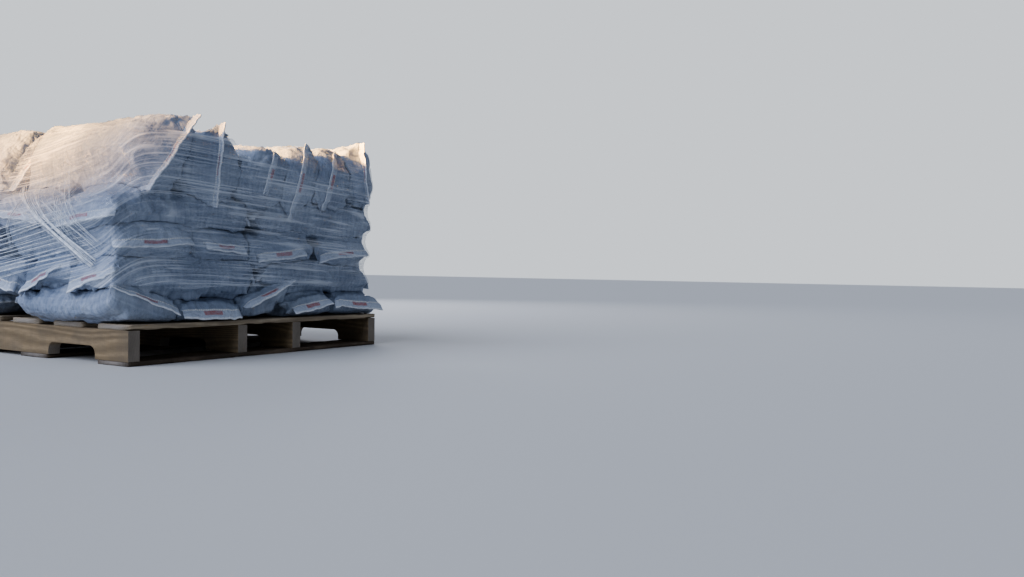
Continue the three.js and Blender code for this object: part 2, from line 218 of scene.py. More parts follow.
world = bpy.data.worlds.new("surround")
world.use_nodes = True
world_tree = world.node_tree
world_tree.nodes.clear()
shining = add_node(world_tree, "ShaderNodeBackground",
                   {"Color": linear(SURROUND_COLOUR), "Strength": SURROUND_STRENGTH})
seen = add_node(world_tree, "ShaderNodeBackground", {"Color": linear(BACKDROP_COLOUR), "Strength": 1.0})
to_camera = add_node(world_tree, "ShaderNodeLightPath").outputs["Is Camera Ray"]
both = add_node(world_tree, "ShaderNodeMixShader",
                links={0: to_camera, 1: shining.outputs[0], 2: seen.outputs[0]})
add_node(world_tree, "ShaderNodeOutputWorld", links={"Surface": both.outputs[0]})
bpy.context.scene.world = world


def lamp_towards(name, kind, place, aim, power, colour):
    """A lamp of a kind at a place, facing an aim point."""
    lamp = bpy.data.lights.new(name, kind)
    lamp.energy, lamp.color = power, linear(colour)[:3]
    holder = bpy.data.objects.new(name, lamp)
    bpy.context.scene.collection.objects.link(holder)
    holder.location = place
    holder.rotation_euler = (Vector(aim) - Vector(place)).to_track_quat("-Z", "Y").to_euler()
    return holder


LOAD_MIDDLE, ABOVE_LOAD = (0, 0, 0.45), (-0.3, -0.1, 1.17)
overhead = lamp_towards("overhead", "SUN", (-3.4, 0.9, 3.0), LOAD_MIDDLE, power=2.8, colour="#dfe7fb")
overhead.data.angle = math.radians(60)
key = lamp_towards("key", "AREA", (-4.2, 0.7, 1.9), ABOVE_LOAD, power=80, colour="#ffba5e")
key.data.size, key.data.spread = 0.5, math.radians(17)
back = lamp_towards("back", "AREA", (3.6, 3.0, 2.6), LOAD_MIDDLE, power=70, colour="#f4f5ff")
back.data.size = 2.6

unlit_by_key = bpy.data.collections.new("unlit_by_key")
unlit_by_key.objects.link(floor)
unlit_by_key.collection_objects[0].light_linking.link_state = "EXCLUDE"
key.light_linking.receiver_collection = unlit_by_key
bpy.context.scene.view_settings.look = "AgX - Medium High Contrast"
print("lamps:", overhead.name, key.name, back.name)

# %% [markdown]
# ## Meshes from arrays
#
# Blender can take a mesh face by face, but whole arrays are quicker and read like the formula they
# come from. A grid of rows and columns is the shape used most: a row for each place along the piece,
# a column for each place round it.

# %% Helpers for meshes
def add_piece(name, points, face_groups, material, uv=None):
    """A mesh object at the origin. face_groups are arrays of faces with as many corners as columns.
    A mesh that is only simulated needs no material."""
    corners = np.concatenate([group.ravel() for group in face_groups])
    sizes = np.concatenate([np.full(len(group), group.shape[1]) for group in face_groups])
    mesh = bpy.data.meshes.new(name)
    mesh.vertices.add(len(points))
    mesh.vertices.foreach_set("co", np.asarray(points, np.float32).ravel())
    mesh.loops.add(len(corners))
    mesh.loops.foreach_set("vertex_index", corners.astype(np.int32))
    mesh.polygons.add(len(sizes))
    mesh.polygons.foreach_set("loop_start", (np.cumsum(sizes) - sizes).astype(np.int32))
    if uv is not None:
        mesh.uv_layers.new(name="cloth").data.foreach_set("uv", np.asarray(uv, np.float32).ravel())
    mesh.update(calc_edges=True)
    mesh.validate()
    mesh.polygons.foreach_set("use_smooth", np.ones(len(mesh.polygons), bool))
    if material:
        mesh.materials.append(material)
    piece = bpy.data.objects.new(name, mesh)
    bpy.context.scene.collection.objects.link(piece)
    return piece


def tube_quads(rows, around):
    """Quads of a tube of rows rings, each of around points, seen from outside when rings advance along +X
    and points turn from +Y to +Z."""
    ring = np.arange(rows - 1)[:, None] * around
    here = ring + np.arange(around)
    beside = ring + (np.arange(around) + 1) % around
    return np.stack([here, beside, beside + around, here + around], -1).reshape(-1, 4)


def fan(ring, centre, flip):
    """Triangles from a ring of point numbers to a centre point number."""
    following = np.roll(ring, -1)
    middle = np.full(len(ring), centre)
    return np.stack([following, ring, middle] if flip else [ring, following, middle], -1)


LATTICE = 64


def lattice_noise(x, y, seed, period=LATTICE):
    """Value noise from -1 to 1: random heights on whole numbers, joined by the curve 3t^2 - 2t^3. It
    repeats in y after `period` whole numbers, so that it can close round a belt."""
    heights = np.random.default_rng(seed).uniform(-1, 1, (LATTICE, period))
    column, row = np.floor(x).astype(int), np.floor(y).astype(int)
    across, up = x - column, y - row
    across, up = across * across * (3 - 2 * across), up * up * (3 - 2 * up)
    here, beside = column % LATTICE, (column + 1) % LATTICE
    below, above = row % period, (row + 1) % period
    low = heights[here, below] * (1 - across) + heights[beside, below] * across
    high = heights[here, above] * (1 - across) + heights[beside, above] * across
    return low * (1 - up) + high * up


print("a tube of 3 rings of 8 points has", len(tube_quads(3, 8)), "faces")

# %% [markdown]
# ## Sawn wood
#
# Pallet wood is rough-sawn softwood. What the eye reads is the grain running along the piece, the
# darker late wood between pale early wood, a few knots, saw marks across the grain and years of dirt
# in the pores. All of it is a solid pattern cut by the surface, so one material shows stripes on a
# face and rings on an end. The pattern reads Object coordinates, and a Mapping node gives each
# piece its own stretch of the tree.

# %% Wood material
RING_WIDTH, RING_BEND = 0.006, 0.05
KNOT_SPACING, KNOT_SWIRL = 0.33, 0.02
KNOT_OUTSIDE, KNOT_INSIDE = 0.085, 0.03
KNOT_COLOUR, END_GRAIN_GREY = "#4a3626", "#918b84"
GRAIN_STRETCH = 0.12
SAW_MARK_SPACING = 0.0098646


def sawn_softwood(name, along, tree_place, tones, dirt_colour, dirt_share):
    """Rough-sawn softwood, roughness 0.8, IOR 1.5. `along` is 0 where the grain runs along X and 1 along Y.
    Rings are bands of distance from a pith line that runs along the piece, bent by slow noise."""
    material, tree, shader = new_material(name)
    coordinates = add_node(tree, "ShaderNodeTexCoord")
    place = mapping(tree, coordinates.outputs["Object"], Location=tree_place)
    stretch = [1.0, 1.0, 1.0]
    stretch[along] = GRAIN_STRETCH
    grain = mapping(tree, place, Scale=stretch)

    knots = add_node(tree, "ShaderNodeTexVoronoi", {"Scale": 1 / KNOT_SPACING, "Randomness": 1.0},
                     {"Vector": place}).outputs["Distance"]
    knot = mapped(tree, knots, KNOT_OUTSIDE, KNOT_INSIDE, interpolation_type="SMOOTHSTEP")
    parts = add_node(tree, "ShaderNodeSeparateXYZ", links={0: place}).outputs
    off_pith = add_node(tree, "ShaderNodeCombineXYZ", links={0: parts[1 - along], 1: parts[2]}).outputs[0]
    radius = add_node(tree, "ShaderNodeVectorMath", links={0: off_pith}, operation="LENGTH").outputs["Value"]
    radius = maths(tree, "ADD", radius, maths(tree, "MULTIPLY", noise_at(tree, grain, 9.0, 2.0), RING_BEND))
    radius = maths(tree, "ADD", radius, maths(tree, "MULTIPLY", knot, KNOT_SWIRL))
    rings = maths(tree, "SINE", maths(tree, "MULTIPLY", radius, 2 * math.pi / RING_WIDTH))
    ring_band = mapped(tree, rings, -1.0, 1.0)

    fine = noise_at(tree, grain, 260.0, 3.0)
    tone = add_node(tree, "ShaderNodeMix", {0: 0.55}, {2: ring_band, 3: fine}).outputs[0]
    colour = ramp(tree, tone, list(zip((0.2, 0.55, 0.85), tones)))
    colour = overlaid(tree, colour, knot, KNOT_COLOUR)
    facing = add_node(tree, "ShaderNodeSeparateXYZ", links={0: coordinates.outputs["Normal"]}).outputs[along]
    end_share = mapped(tree, maths(tree, "ABSOLUTE", facing), 0.6, 0.95, end=0.75)
    colour = overlaid(tree, colour, end_share, END_GRAIN_GREY)
    blotch = noise_at(tree, place, 7.0, 5.0, Roughness=0.65)
    colour = overlaid(tree, colour, mapped(tree, blotch, 0.42, 0.72, end=dirt_share), dirt_colour)
    tree.links.new(colour, shader.inputs["Base Color"])

    # at scale 1 the wave texture has ten waves in pi metres
    marks = add_node(tree, "ShaderNodeTexWave", {"Scale": math.pi / 10 / SAW_MARK_SPACING, "Distortion": 3.0},
                     {"Vector": place}, bands_direction="XYZ"[along]).outputs["Fac"]
    relief = add_node(tree, "ShaderNodeMix", {0: 0.3}, {2: tone, 3: marks}).outputs[0]
    tree.links.new(bumped(tree, relief, 0.5, 0.0015), shader.inputs["Normal"])
    shader.inputs["Roughness"].default_value = 0.8
    shader.inputs["Specular IOR Level"].default_value = 0.3
    return material


print("wood with a growth ring every", RING_WIDTH * 1000, "mm and a knot every", KNOT_SPACING, "m")

# %% [markdown]
# ## Deck and bottom boards
#
# A board out of the box has twelve razor edges, which no sawn board keeps. A bevel modifier would
# round them evenly. Here the board is a rounded rectangle carried along X, so wear can be worked out
# at the same time: the edges lose up to a few millimetres where forks and straps have rubbed, and
# each line of fibres ends at its own length.

# %% Boards
BOARD_ROWS = 72
EDGE_RADIUS = 0.0022
FACE_STEPS, CORNER_STEPS = 7, 4
RUB_LENGTH, RUB_ACROSS, RUB_UP = 0.045, 0.03, 0.01
RUB_LEVEL, LEAST_RUB, MOST_RUB_SHARE = 0.1, 0.0003, 0.3
FIBRE_WIDTH, FIBRE_ENDS = 0.004, 0.0011


def board_section(width, thickness):
    """Points of a rounded rectangle: four quarter circles of EDGE_RADIUS, and even steps on each face.
    Returned as offsets across and up, with how near each point is to an edge, from 0 to 1."""
    turn = np.linspace(0, math.pi / 2, CORNER_STEPS)
    half = np.array([width / 2 - EDGE_RADIUS, thickness / 2 - EDGE_RADIUS])
    ring, edge = [], []
    for quarter, (sx, sy) in enumerate(((1, 1), (-1, 1), (-1, -1), (1, -1))):
        angle = turn + quarter * math.pi / 2
        arc = np.stack([np.cos(angle), np.sin(angle)], -1) * EDGE_RADIUS + half * (sx, sy)
        ring.append(arc)
        edge.append(np.ones(CORNER_STEPS))
        next_sign = ((-1, 1), (-1, -1), (1, -1), (1, 1))[quarter]
        next_angle = angle[-1]
        start = np.array([np.cos(next_angle), np.sin(next_angle)]) * EDGE_RADIUS + half * next_sign
        share = np.arange(1, FACE_STEPS)[:, None] / FACE_STEPS
        ring.append(arc[-1] + (start - arc[-1]) * share)
        edge.append(np.abs(2 * share[:, 0] - 1) ** 8)
    return np.concatenate(ring), np.concatenate(edge)


def sawn_board(node, wear, seed, material):
    """A board along X inside its CAD node's box. Points move inwards by wear, in metres, times noise."""
    low, high = (np.array(corner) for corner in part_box(node))
    middle, size = (low + high) / 2, high - low
    ring, edge = board_section(size[1], size[2])
    x = middle[0] + size[0] / 2 * np.linspace(-1, 1, BOARD_ROWS)
    across = np.broadcast_to(ring[:, 0], (BOARD_ROWS, len(ring)))
    up = np.broadcast_to(ring[:, 1], (BOARD_ROWS, len(ring)))
    place = np.broadcast_to(x[:, None], across.shape)
    rub = lattice_noise(place / RUB_LENGTH + 9, across / RUB_ACROSS + up / RUB_UP, seed)
    rub = np.clip(rub - RUB_LEVEL, 0, 1) * edge * wear + LEAST_RUB
    ragged = (lattice_noise(across / FIBRE_WIDTH, up / FIBRE_WIDTH, seed + 1) + 1) * FIBRE_ENDS
    inward = np.clip(1 - np.abs(np.arange(BOARD_ROWS) - (BOARD_ROWS - 1) / 2) / ((BOARD_ROWS - 1) / 2), 0, 1)
    at_end = (inward < 1e-9)[:, None]
    place = place - np.sign(place - middle[0]) * np.where(at_end, ragged, 0)
    shrink_y = 1 - rub / (size[1] / 2)
    shrink_z = 1 - np.minimum(rub, size[2] * MOST_RUB_SHARE) / (size[2] / 2)
    points = np.stack([place, middle[1] + across * shrink_y, middle[2] + up * shrink_z], -1).reshape(-1, 3)
    count = len(ring)
    ends = points.reshape(BOARD_ROWS, count, 3)[[0, -1]].mean(1)
    points = np.concatenate([points, ends])
    last = (BOARD_ROWS - 1) * count
    faces = [tube_quads(BOARD_ROWS, count), fan(np.arange(count), len(points) - 2, True),
             fan(last + np.arange(count), len(points) - 1, False)]
    piece = add_piece(node + "_sawn", points, faces, material)
    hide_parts(node)
    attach(piece, "root")
    return piece


DECK_TONES = ("#8d806f", "#a5967f", "#baac95")
BOTTOM_TONES = ("#4f463c", "#62564a", "#786a59")
DECK_WEAR, LEAD_WEAR = 0.0022, 0.0055
for number in range(1, 7):
    node = f"deck_board_{number}"
    tree_place = (0.31 * number, 0.043 * number, 0.06 + 0.017 * number)
    wood = sawn_softwood(node + "_softwood", 0, tree_place, DECK_TONES, "#746a5f", 0.6)
    sawn_board(node, LEAD_WEAR if number == 1 else DECK_WEAR, 10 * number, wood)
for number in range(1, 5):
    node = f"bottom_board_{number}"
    tree_place = (0.47 * number, 0.051 * number, 0.1 + 0.013 * number)
    wood = sawn_softwood(node + "_softwood", 0, tree_place, BOTTOM_TONES, "#2f2823", 0.8)
    sawn_board(node, DECK_WEAR, 200 + 10 * number, wood)

# %% [markdown]
# ## Stringers
#
# The stringers carry the notches, whose shape is already right in the CAD mesh. That mesh is loose
# triangles, so a copy is merged, its flat faces are joined again, and a narrow bevel takes the
# sharpness off the edges.

# %% Stringers
STRINGER_TONES = ("#74654f", "#86755c", "#9a876b")
BEVEL_WIDTH = 0.0016


def softened_copy(node, material):
    """A merged copy of a CAD node with its flat faces joined and its edges bevelled."""
    work = bmesh.new()
    work.from_mesh(nodes[node].data)
    bmesh.ops.remove_doubles(work, verts=work.verts, dist=1e-5)
    bmesh.ops.dissolve_limit(work, angle_limit=math.radians(2), verts=work.verts, edges=work.edges)
    sharp = [e for e in work.edges if len(e.link_faces) == 2 and e.calc_face_angle(0) > math.radians(40)]
    bmesh.ops.bevel(work, geom=sharp, offset=BEVEL_WIDTH, segments=2, affect="EDGES", profile=0.6)
    bmesh.ops.triangulate(work, faces=[f for f in work.faces if len(f.verts) > 4])
    mesh = bpy.data.meshes.new(node + "_sawn")
    work.to_mesh(mesh)
    work.free()
    mesh.materials.append(material)
    piece = bpy.data.objects.new(node + "_sawn", mesh)
    bpy.context.scene.collection.objects.link(piece)
    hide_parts(node)
    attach(piece, "root")
    return piece


for number in range(1, 5):
    node = f"stringer_{number}"
    tree_place = (0.07 + 0.09 * number, 0.61 * number, 0.02 * number)
    wood = sawn_softwood(node + "_softwood", 1, tree_place, STRINGER_TONES, "#5d564d", 0.55)
    softened_copy(node, wood)
print("stringers softened")

# %% [markdown]
# ## Nails
#
# Each board is nailed into each stringer with three nails, driven home until the head hardly stands
# out. A nail head is a flat round of a few faces whose rim dips into the wood. All of them are worked
# out as one array and kept in one mesh, and like real ones none is quite in line.

# %% Nails
NAIL_HEAD, NAIL_SIDES, NAIL_FLAT = 0.0045, 10, 0.8
NAIL_PROUD, NAIL_RIM, NAIL_SINK = 0.0004, 0.0008, 0.0002
NAILS_IN_ROW, NAIL_INSET = 3, 0.025
NAIL_STRAY_X, NAIL_STRAY_Y = 0.008, 0.006

nail_steel, nail_tree, nail_shader = new_material("weathered_nail_steel")
nail_place = add_node(nail_tree, "ShaderNodeTexCoord").outputs["Object"]
nail_spots = noise_at(nail_tree, nail_place, 700.0, 3.0)
nail_colour = ramp(nail_tree, nail_spots, [(0.35, "#5c4434"), (0.6, "#6f6a66"), (0.8, "#8d8a86")])
nail_tree.links.new(nail_colour, nail_shader.inputs["Base Color"])
nail_shader.inputs["Metallic"].default_value = 0.7
nail_shader.inputs["Roughness"].default_value = 0.55


def nail_heads(centres, up):
    """Discs of two rings and a middle point, facing up (+1) or down (-1)."""
    angle = 2 * math.pi * np.arange(NAIL_SIDES) / NAIL_SIDES * up
    rim = np.stack([np.cos(angle), np.sin(angle), np.zeros(NAIL_SIDES)], -1)
    upward = np.array([0, 0, up])
    disc = np.concatenate([rim * NAIL_HEAD - upward * NAIL_RIM,
                           rim * NAIL_HEAD * NAIL_FLAT + upward * NAIL_PROUD, [upward * NAIL_PROUD]])
    quads = tube_quads(2, NAIL_SIDES)
    middle = fan(NAIL_SIDES + np.arange(NAIL_SIDES), 2 * NAIL_SIDES, False)
    points = (centres[:, None] + disc).reshape(-1, 3)
    start = np.arange(len(centres))[:, None, None] * len(disc)
    return points, (quads + start).reshape(-1, 4), (middle + start).reshape(-1, 3)


stringer_x = [sum(c[0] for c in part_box(f"stringer_{n}")) / 2 for n in range(1, 5)]
nail_sets = []
for prefix, count, up in (("deck_board", 6, 1), ("bottom_board", 4, -1)):
    for number in range(1, count + 1):
        low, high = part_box(f"{prefix}_{number}")
        draw = np.random.default_rng(500 + number + count)
        face = high[2] if up > 0 else low[2]
        for middle_x in stringer_x:
            y = np.linspace(low[1] + NAIL_INSET, high[1] - NAIL_INSET, NAILS_IN_ROW)
            y = y + draw.uniform(-NAIL_STRAY_Y, NAIL_STRAY_Y, NAILS_IN_ROW)
            x = middle_x + draw.uniform(-NAIL_STRAY_X, NAIL_STRAY_X, NAILS_IN_ROW)
            spots = np.stack([x, y, np.full(NAILS_IN_ROW, face)], -1)
            nail_sets.append(nail_heads(spots - [0, 0, NAIL_SINK * up], up))
offsets = np.cumsum([0] + [len(points) for points, _, _ in nail_sets[:-1]])
nails = add_piece("nails", np.concatenate([points for points, _, _ in nail_sets]),
                  [np.concatenate([q + o for (_, q, _), o in zip(nail_sets, offsets)]),
                   np.concatenate([t + o for (_, _, t), o in zip(nail_sets, offsets)])], nail_steel)
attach(nails, "root")
print("nails:", NAILS_IN_ROW * len(nail_sets))

# %% [markdown]
# ## Reading a sack
#
# A filled sack is a woven tube that was sewn flat at both ends. Its CAD solid says where it lies and
# how its neighbours press it. To make cloth from it, the solid is cut into sections across its
# length, and each section becomes a ring of points at even steps of its girth. Ring after ring, that
# is a grid in which a column follows one thread of the weave. First each sack needs axes of its own.

# %% A sack's triangles and axes
def triangles(node):
    """A CAD node's triangles: count x 3 corners x 3 coordinates."""
    mesh = nodes[node].data
    mesh.calc_loop_triangles()
    corners = np.empty(len(mesh.loop_triangles) * 3, np.int32)
    mesh.loop_triangles.foreach_get("vertices", corners)
    points = np.empty(len(mesh.vertices) * 3, np.float32)
    mesh.vertices.foreach_get("co", points)
    return points.reshape(-1, 3)[corners].reshape(-1, 3, 3).astype(float)


def unit(vector):
    """The vector's direction with length 1."""
    return vector / np.linalg.norm(vector)


HEM_SLICE = 0.004


def sack_axes(tris, on_edge, turned_over):
    """Middle of the skin and rows along, across and through the sack. Along is the widest level
    direction of the skin's area. A sack on its edge takes its across from the direction of its hems."""
    area = np.linalg.norm(np.cross(tris[:, 1] - tris[:, 0], tris[:, 2] - tris[:, 0]), axis=1) / 2
    centres = tris.mean(axis=1)
    middle = (centres * area[:, None]).sum(0) / area.sum()
    level = (centres - middle) * (1, 1, 0)
    along = np.linalg.eigh((level * area[:, None]).T @ level)[1][:, -1]
    along = along * np.sign(along[np.argmax(np.abs(along))])
    through = np.array([0, 0, 1.0])
    if on_edge:
        corners = tris.reshape(-1, 3)
        reach = (corners - middle) @ along
        hems = []
        for hem in (corners[reach < reach.min() + HEM_SLICE], corners[reach > reach.max() - HEM_SLICE]):
            spread = hem - hem.mean(0)
            spread = spread - np.outer(spread @ along, along)
            across = np.linalg.eigh(spread.T @ spread)[1][:, -1]
            hems.append(across * np.sign(across[2]))
        through = unit(np.cross(along, hems[0] + hems[1]))
    if turned_over:
        through = -through
    across = unit(np.cross(through, along))
    return middle, np.array([along, across, np.cross(along, across)])


print("the first sack's solid has", len(triangles(sack_names[0])), "triangles")

# %% [markdown]
# ## Sections
#
# Blender can cut a mesh with a plane, one plane at a time. Here arrays make all the cuts at once, at
# stations, which are places along the sack. The triangle edges that cross a station say how wide the
# section is there, and lines through points of that width meet its upper and its lower side. Steps of
# one length round the section make the ring.

# %% Sections and even rings
EDGE_INSET = 0.004


def reach_across(tris, stations):
    """Lowest and highest across value of a solid's sections: where each triangle edge meets a station."""
    start = tris.reshape(-1, 3)
    end = np.roll(tris, -1, axis=1).reshape(-1, 3)
    run = end[:, 0] - start[:, 0]
    run = np.where(np.abs(run) < 1e-9, 1e-9, run)
    share = (stations[:, None] - start[:, 0]) / run
    met = (share >= 0) & (share <= 1)
    across = start[:, 1] + share * (end[:, 1] - start[:, 1])
    return np.where(met, across, np.inf).min(1), np.where(met, across, -np.inf).max(1)


def reach_through(tris, x, y):
    """Highest and lowest through value of a solid over the points (x, y): where a line through each
    point meets the triangles, found from its shares of their three corners."""
    a, b, c = tris[:, 0], tris[:, 1], tris[:, 2]
    twice_area = (b[:, 0] - a[:, 0]) * (c[:, 1] - a[:, 1]) - (c[:, 0] - a[:, 0]) * (b[:, 1] - a[:, 1])
    kept = np.abs(twice_area) > 1e-12
    a, b, c, twice_area = a[kept], b[kept], c[kept], twice_area[kept]
    px, py = x[:, None], y[:, None]
    u = ((px - a[:, 0]) * (c[:, 1] - a[:, 1]) - (c[:, 0] - a[:, 0]) * (py - a[:, 1])) / twice_area
    v = ((b[:, 0] - a[:, 0]) * (py - a[:, 1]) - (px - a[:, 0]) * (b[:, 1] - a[:, 1])) / twice_area
    met = (u >= -2e-4) & (v >= -2e-4) & (u + v <= 1.0002)
    height = a[:, 2] + u * (b[:, 2] - a[:, 2]) + v * (c[:, 2] - a[:, 2])
    return np.where(met, height, -np.inf).max(1), np.where(met, height, np.inf).min(1)


def fill_missed(values, good):
    """Replaces values that no triangle was met for by what lies between the good ones of the row."""
    for row in np.where(~good.all(1))[0]:
        columns = np.where(good[row])[0]
        values[row] = np.interp(np.arange(values.shape[1]), columns, values[row, columns])
    return values


def even_ring(section, count):
    """Points at even steps of a closed section's girth, from the middle of its closing side."""
    closed = np.vstack([section, section[:1]])
    walked = np.concatenate([[0], np.cumsum(np.linalg.norm(np.diff(closed, axis=0), axis=1))])
    start = (walked[-2] + walked[-1]) / 2
    steps = (start + walked[-1] * np.arange(count) / count) % walked[-1]
    return np.stack([np.interp(steps, walked, closed[:, i]) for i in (0, 1)], -1), walked[-1]


def smooth_rows(grid, passes):
    """Each point moves a quarter of the way to both its neighbours, along the rows and round them."""
    for _ in range(passes):
        grid = grid / 2 + (np.roll(grid, 1, 1) + np.roll(grid, -1, 1)) / 4
        inner = grid[1:-1] / 2 + (grid[:-2] + grid[2:]) / 4
        grid = np.concatenate([grid[:1], inner, grid[-1:]])
    return grid


def section_rings(local, stations, around):
    """Rings at even steps of the girth of the solid's sections at the stations, and the largest girth."""
    low, high = reach_across(local, stations)
    share = (1 - np.cos(np.linspace(0, math.pi, around // 2 + 1))) / 2
    across = low[:, None] + (high - low)[:, None] * (EDGE_INSET + (1 - 2 * EDGE_INSET) * share)
    along = np.broadcast_to(stations[:, None], across.shape)
    top, bottom = reach_through(local, along.ravel(), across.ravel())
    top, bottom = top.reshape(across.shape), bottom.reshape(across.shape)
    good = np.isfinite(top) & np.isfinite(bottom)
    top, bottom = fill_missed(top, good), fill_missed(bottom, good)
    sections = np.stack([np.concatenate([across, across[:, ::-1]], 1),
                         np.concatenate([top, bottom[:, ::-1]], 1)], -1)
    rings, girths = zip(*[even_ring(section, around) for section in sections])
    return smooth_rows(np.array(rings), 1), max(girths)


unit_square = np.array([[0.0, 0.0], [1.0, 0.0], [1.0, 1.0], [0.0, 1.0]])
print("the girth of a unit square is", even_ring(unit_square, 8)[1])

# %% [markdown]
# ## Ends
#
# At an end the rings need care. A hem that stands out is a thin lip, and the rings follow it. A hem
# that is folded over lies against a blunt end, where sections would jump in size, so the rings of a
# round cap join its seam line to the first full section. An end can also stand slanted: sliding the
# solid's points along the sack makes it square, and the slide backwards gives the rings the slant.

# %% Hems, caps and slants
HEM_DEPTH = 0.021
FOLD_STANDOFF, CAP_DEPTH, CAP_RINGS = 0.004, 0.030, 7
FOLD_SHIFT, SEAM_HALF = 0.014, 0.0012
FOLD_TEST_DEPTH, FOLD_TEST_THICKNESS = 0.008, 0.015


def hem_fold(local, place, inward):
    """Which side through the sack the hem at an end lies folded to: +1, -1, or 0 where it stands out.
    A folded one has a thick section close behind it. Also both ends of the seam, across and through."""
    corners = local.reshape(-1, 3)
    outermost = corners[np.abs(corners[:, 0] - place) < 0.001]
    ends = outermost[[np.argmin(outermost[:, 1]), np.argmax(outermost[:, 1])], 1:]
    tested = np.full(9, place + inward * FOLD_TEST_DEPTH)
    low, high = reach_across(local, tested[:1])
    top, bottom = reach_through(local, tested, np.linspace(low[0], high[0], 11)[1:-1])
    met = np.isfinite(top) & np.isfinite(bottom)
    if np.median((top - bottom)[met]) < FOLD_TEST_THICKNESS:
        return 0, ends
    side = int(np.sign(outermost[:, 2].mean() - (top + bottom)[met].mean() / 2))
    return side, ends - [0, side * FOLD_SHIFT]


def column_share(around):
    """How far each column of a ring lies from the low to the high edge: 0 at the first, 1 at the middle."""
    return 1 - np.abs(np.arange(around) - around / 2) / (around / 2)


def round_cap(seam, full, place, inward):
    """Rings from the seam line to a full section. Across and through grow with the sine of a quarter
    turn, and the depth with one less its cosine."""
    share = column_share(len(full))
    thin = SEAM_HALF * np.sin(math.pi * share) * np.where(np.arange(len(full)) < len(full) / 2, 1, -1)
    line = seam[0] + (seam[1] - seam[0]) * share[:, None] + thin[:, None] * [0, 1]
    turn = np.arange(CAP_RINGS) / CAP_RINGS * math.pi / 2
    depths = place + inward * (FOLD_STANDOFF + CAP_DEPTH * (1 - np.cos(turn)))
    return depths, line + (full - line) * np.sin(turn)[:, None, None]


def end_slant(local, side):
    """How far a solid's end runs out, side -1 or 1, for each metre across it: the slope of a straight
    line through its outermost places over the middle two thirds of the width."""
    swapped = local[..., [1, 0, 2]]
    low, high = swapped[..., 0].min(), swapped[..., 0].max()
    across = np.linspace(low + (high - low) / 6, high - (high - low) / 6, 13)
    return np.polyfit(across, reach_across(swapped, across)[0 if side < 0 else 1], 1)[0]


def squared(points, slants, middle, half):
    """Slides points along the sack so that both ends come square to it. A point moves by its place
    across times the end's slant, in full at the end and not at all in the middle."""
    slant = np.where(points[..., 0] < middle, *slants)
    share = np.abs(points[..., 0] - middle) / half
    return points - (slant * points[..., 1] * share)[..., None] * [1, 0, 0]


def slanted_again(points, slants, middle, half):
    """Undoes `squared`: the equation of that slide, solved for the place along the sack."""
    off = points[..., 0] - middle
    slant = np.where(off < 0, -1, 1) * np.where(off < 0, *slants)
    along = middle + off / (1 - slant * points[..., 1] / half)
    return np.concatenate([along[..., None], points[..., 1:]], -1)


print("a cap has", CAP_RINGS, "rings over", round(CAP_DEPTH * 1000), "mm")

# %% [markdown]
# ## Every sack read
#
# Rings lie closest together near the hems, where the form changes most. Where others hide a sack,
# fewer are enough. The numbers below are depths behind the end, so each kind of end has a list.

# %% Read every sack
STANDING_DEPTHS = np.array([1.2, 7, 13, 19, 26, 34, 44, 56, 70, 86, 104, 124]) / 1000
FOLDED_DEPTHS = FOLD_STANDOFF + CAP_DEPTH + np.array([0.0, 10, 22, 37, 56, 80]) / 1000
HIDDEN_DEPTHS = np.array([1.2, 12, 26, 50, 90]) / 1000
RING_STEP, HIDDEN_RING_STEP = 0.014, 0.034
COLUMNS, HIDDEN_COLUMNS = 48, 40


def read_sack(name):
    """Everything the later steps need to know about a sack: its axes, rings and girth. Rings lie
    closer together where they show."""
    layer, row, number = name.split("_")[1:]
    on_edge = layer == "5"
    long_side_shows = on_edge or number == "1" or name in LAST_IN_ROW
    outer_is_low = row in ("front", "left")
    tris = triangles(name)
    middle, axes = sack_axes(tris, on_edge, on_edge and row == "back")
    local = (tris - middle) @ axes.T
    places = (local[..., 0].min(), local[..., 0].max())
    folds, seams = zip(*[hem_fold(local, place, inward) for place, inward in zip(places, (1, -1))])
    slants = [0.0 if fold else end_slant(local, side) for fold, side in zip(folds, (-1, 1))]
    half, centre = (places[1] - places[0]) / 2, (places[0] + places[1]) / 2
    local = squared(local, slants, centre, half)
    places = (local[..., 0].min(), local[..., 0].max())
    depths = []
    for fold, shows in zip(folds, (outer_is_low or on_edge, not outer_is_low or on_edge)):
        depths.append(FOLDED_DEPTHS if fold else STANDING_DEPTHS if shows else HIDDEN_DEPTHS)
    near, far = places[0] + depths[0], places[1] - depths[1][::-1]
    step = RING_STEP if long_side_shows else HIDDEN_RING_STEP
    count = max(2, round((far[0] - near[-1]) / step))
    stations = np.concatenate([near, np.linspace(near[-1], far[0], count + 1)[1:-1], far])
    around = COLUMNS if long_side_shows else HIDDEN_COLUMNS
    rings, girth = section_rings(local, stations, around)
    if folds[0]:
        cap_places, cap = round_cap(seams[0], rings[0], places[0], 1)
        stations, rings = np.concatenate([cap_places, stations]), np.concatenate([cap, rings])
    if folds[1]:
        cap_places, cap = round_cap(seams[1], rings[-1], places[1], -1)
        stations, rings = np.concatenate([stations, cap_places[::-1]]), np.concatenate([rings, cap[::-1]])
    grid = np.concatenate([np.broadcast_to(stations[:, None, None], (*rings.shape[:2], 1)), rings], -1)
    grid = slanted_again(grid, slants, centre, half)
    return {"name": name, "layer": int(layer), "middle": middle, "axes": axes, "grid": grid, "girth": girth,
            "folds": folds, "slants": slants}


sack_rows = {name.rsplit("_", 1)[0] for name in sack_names}
LAST_IN_ROW = {max(name for name in sack_names if name.rsplit("_", 1)[0] == row) for row in sack_rows}
sacks = [read_sack(name) for name in sack_names]
print("ends slanted by at most", round(max(abs(slant) for s in sacks for slant in s["slants"]), 2))
folded = {s["name"]: s["folds"] for s in sacks if any(s["folds"])}
print("sacks read:", len(sacks), "with folded hems on", folded)

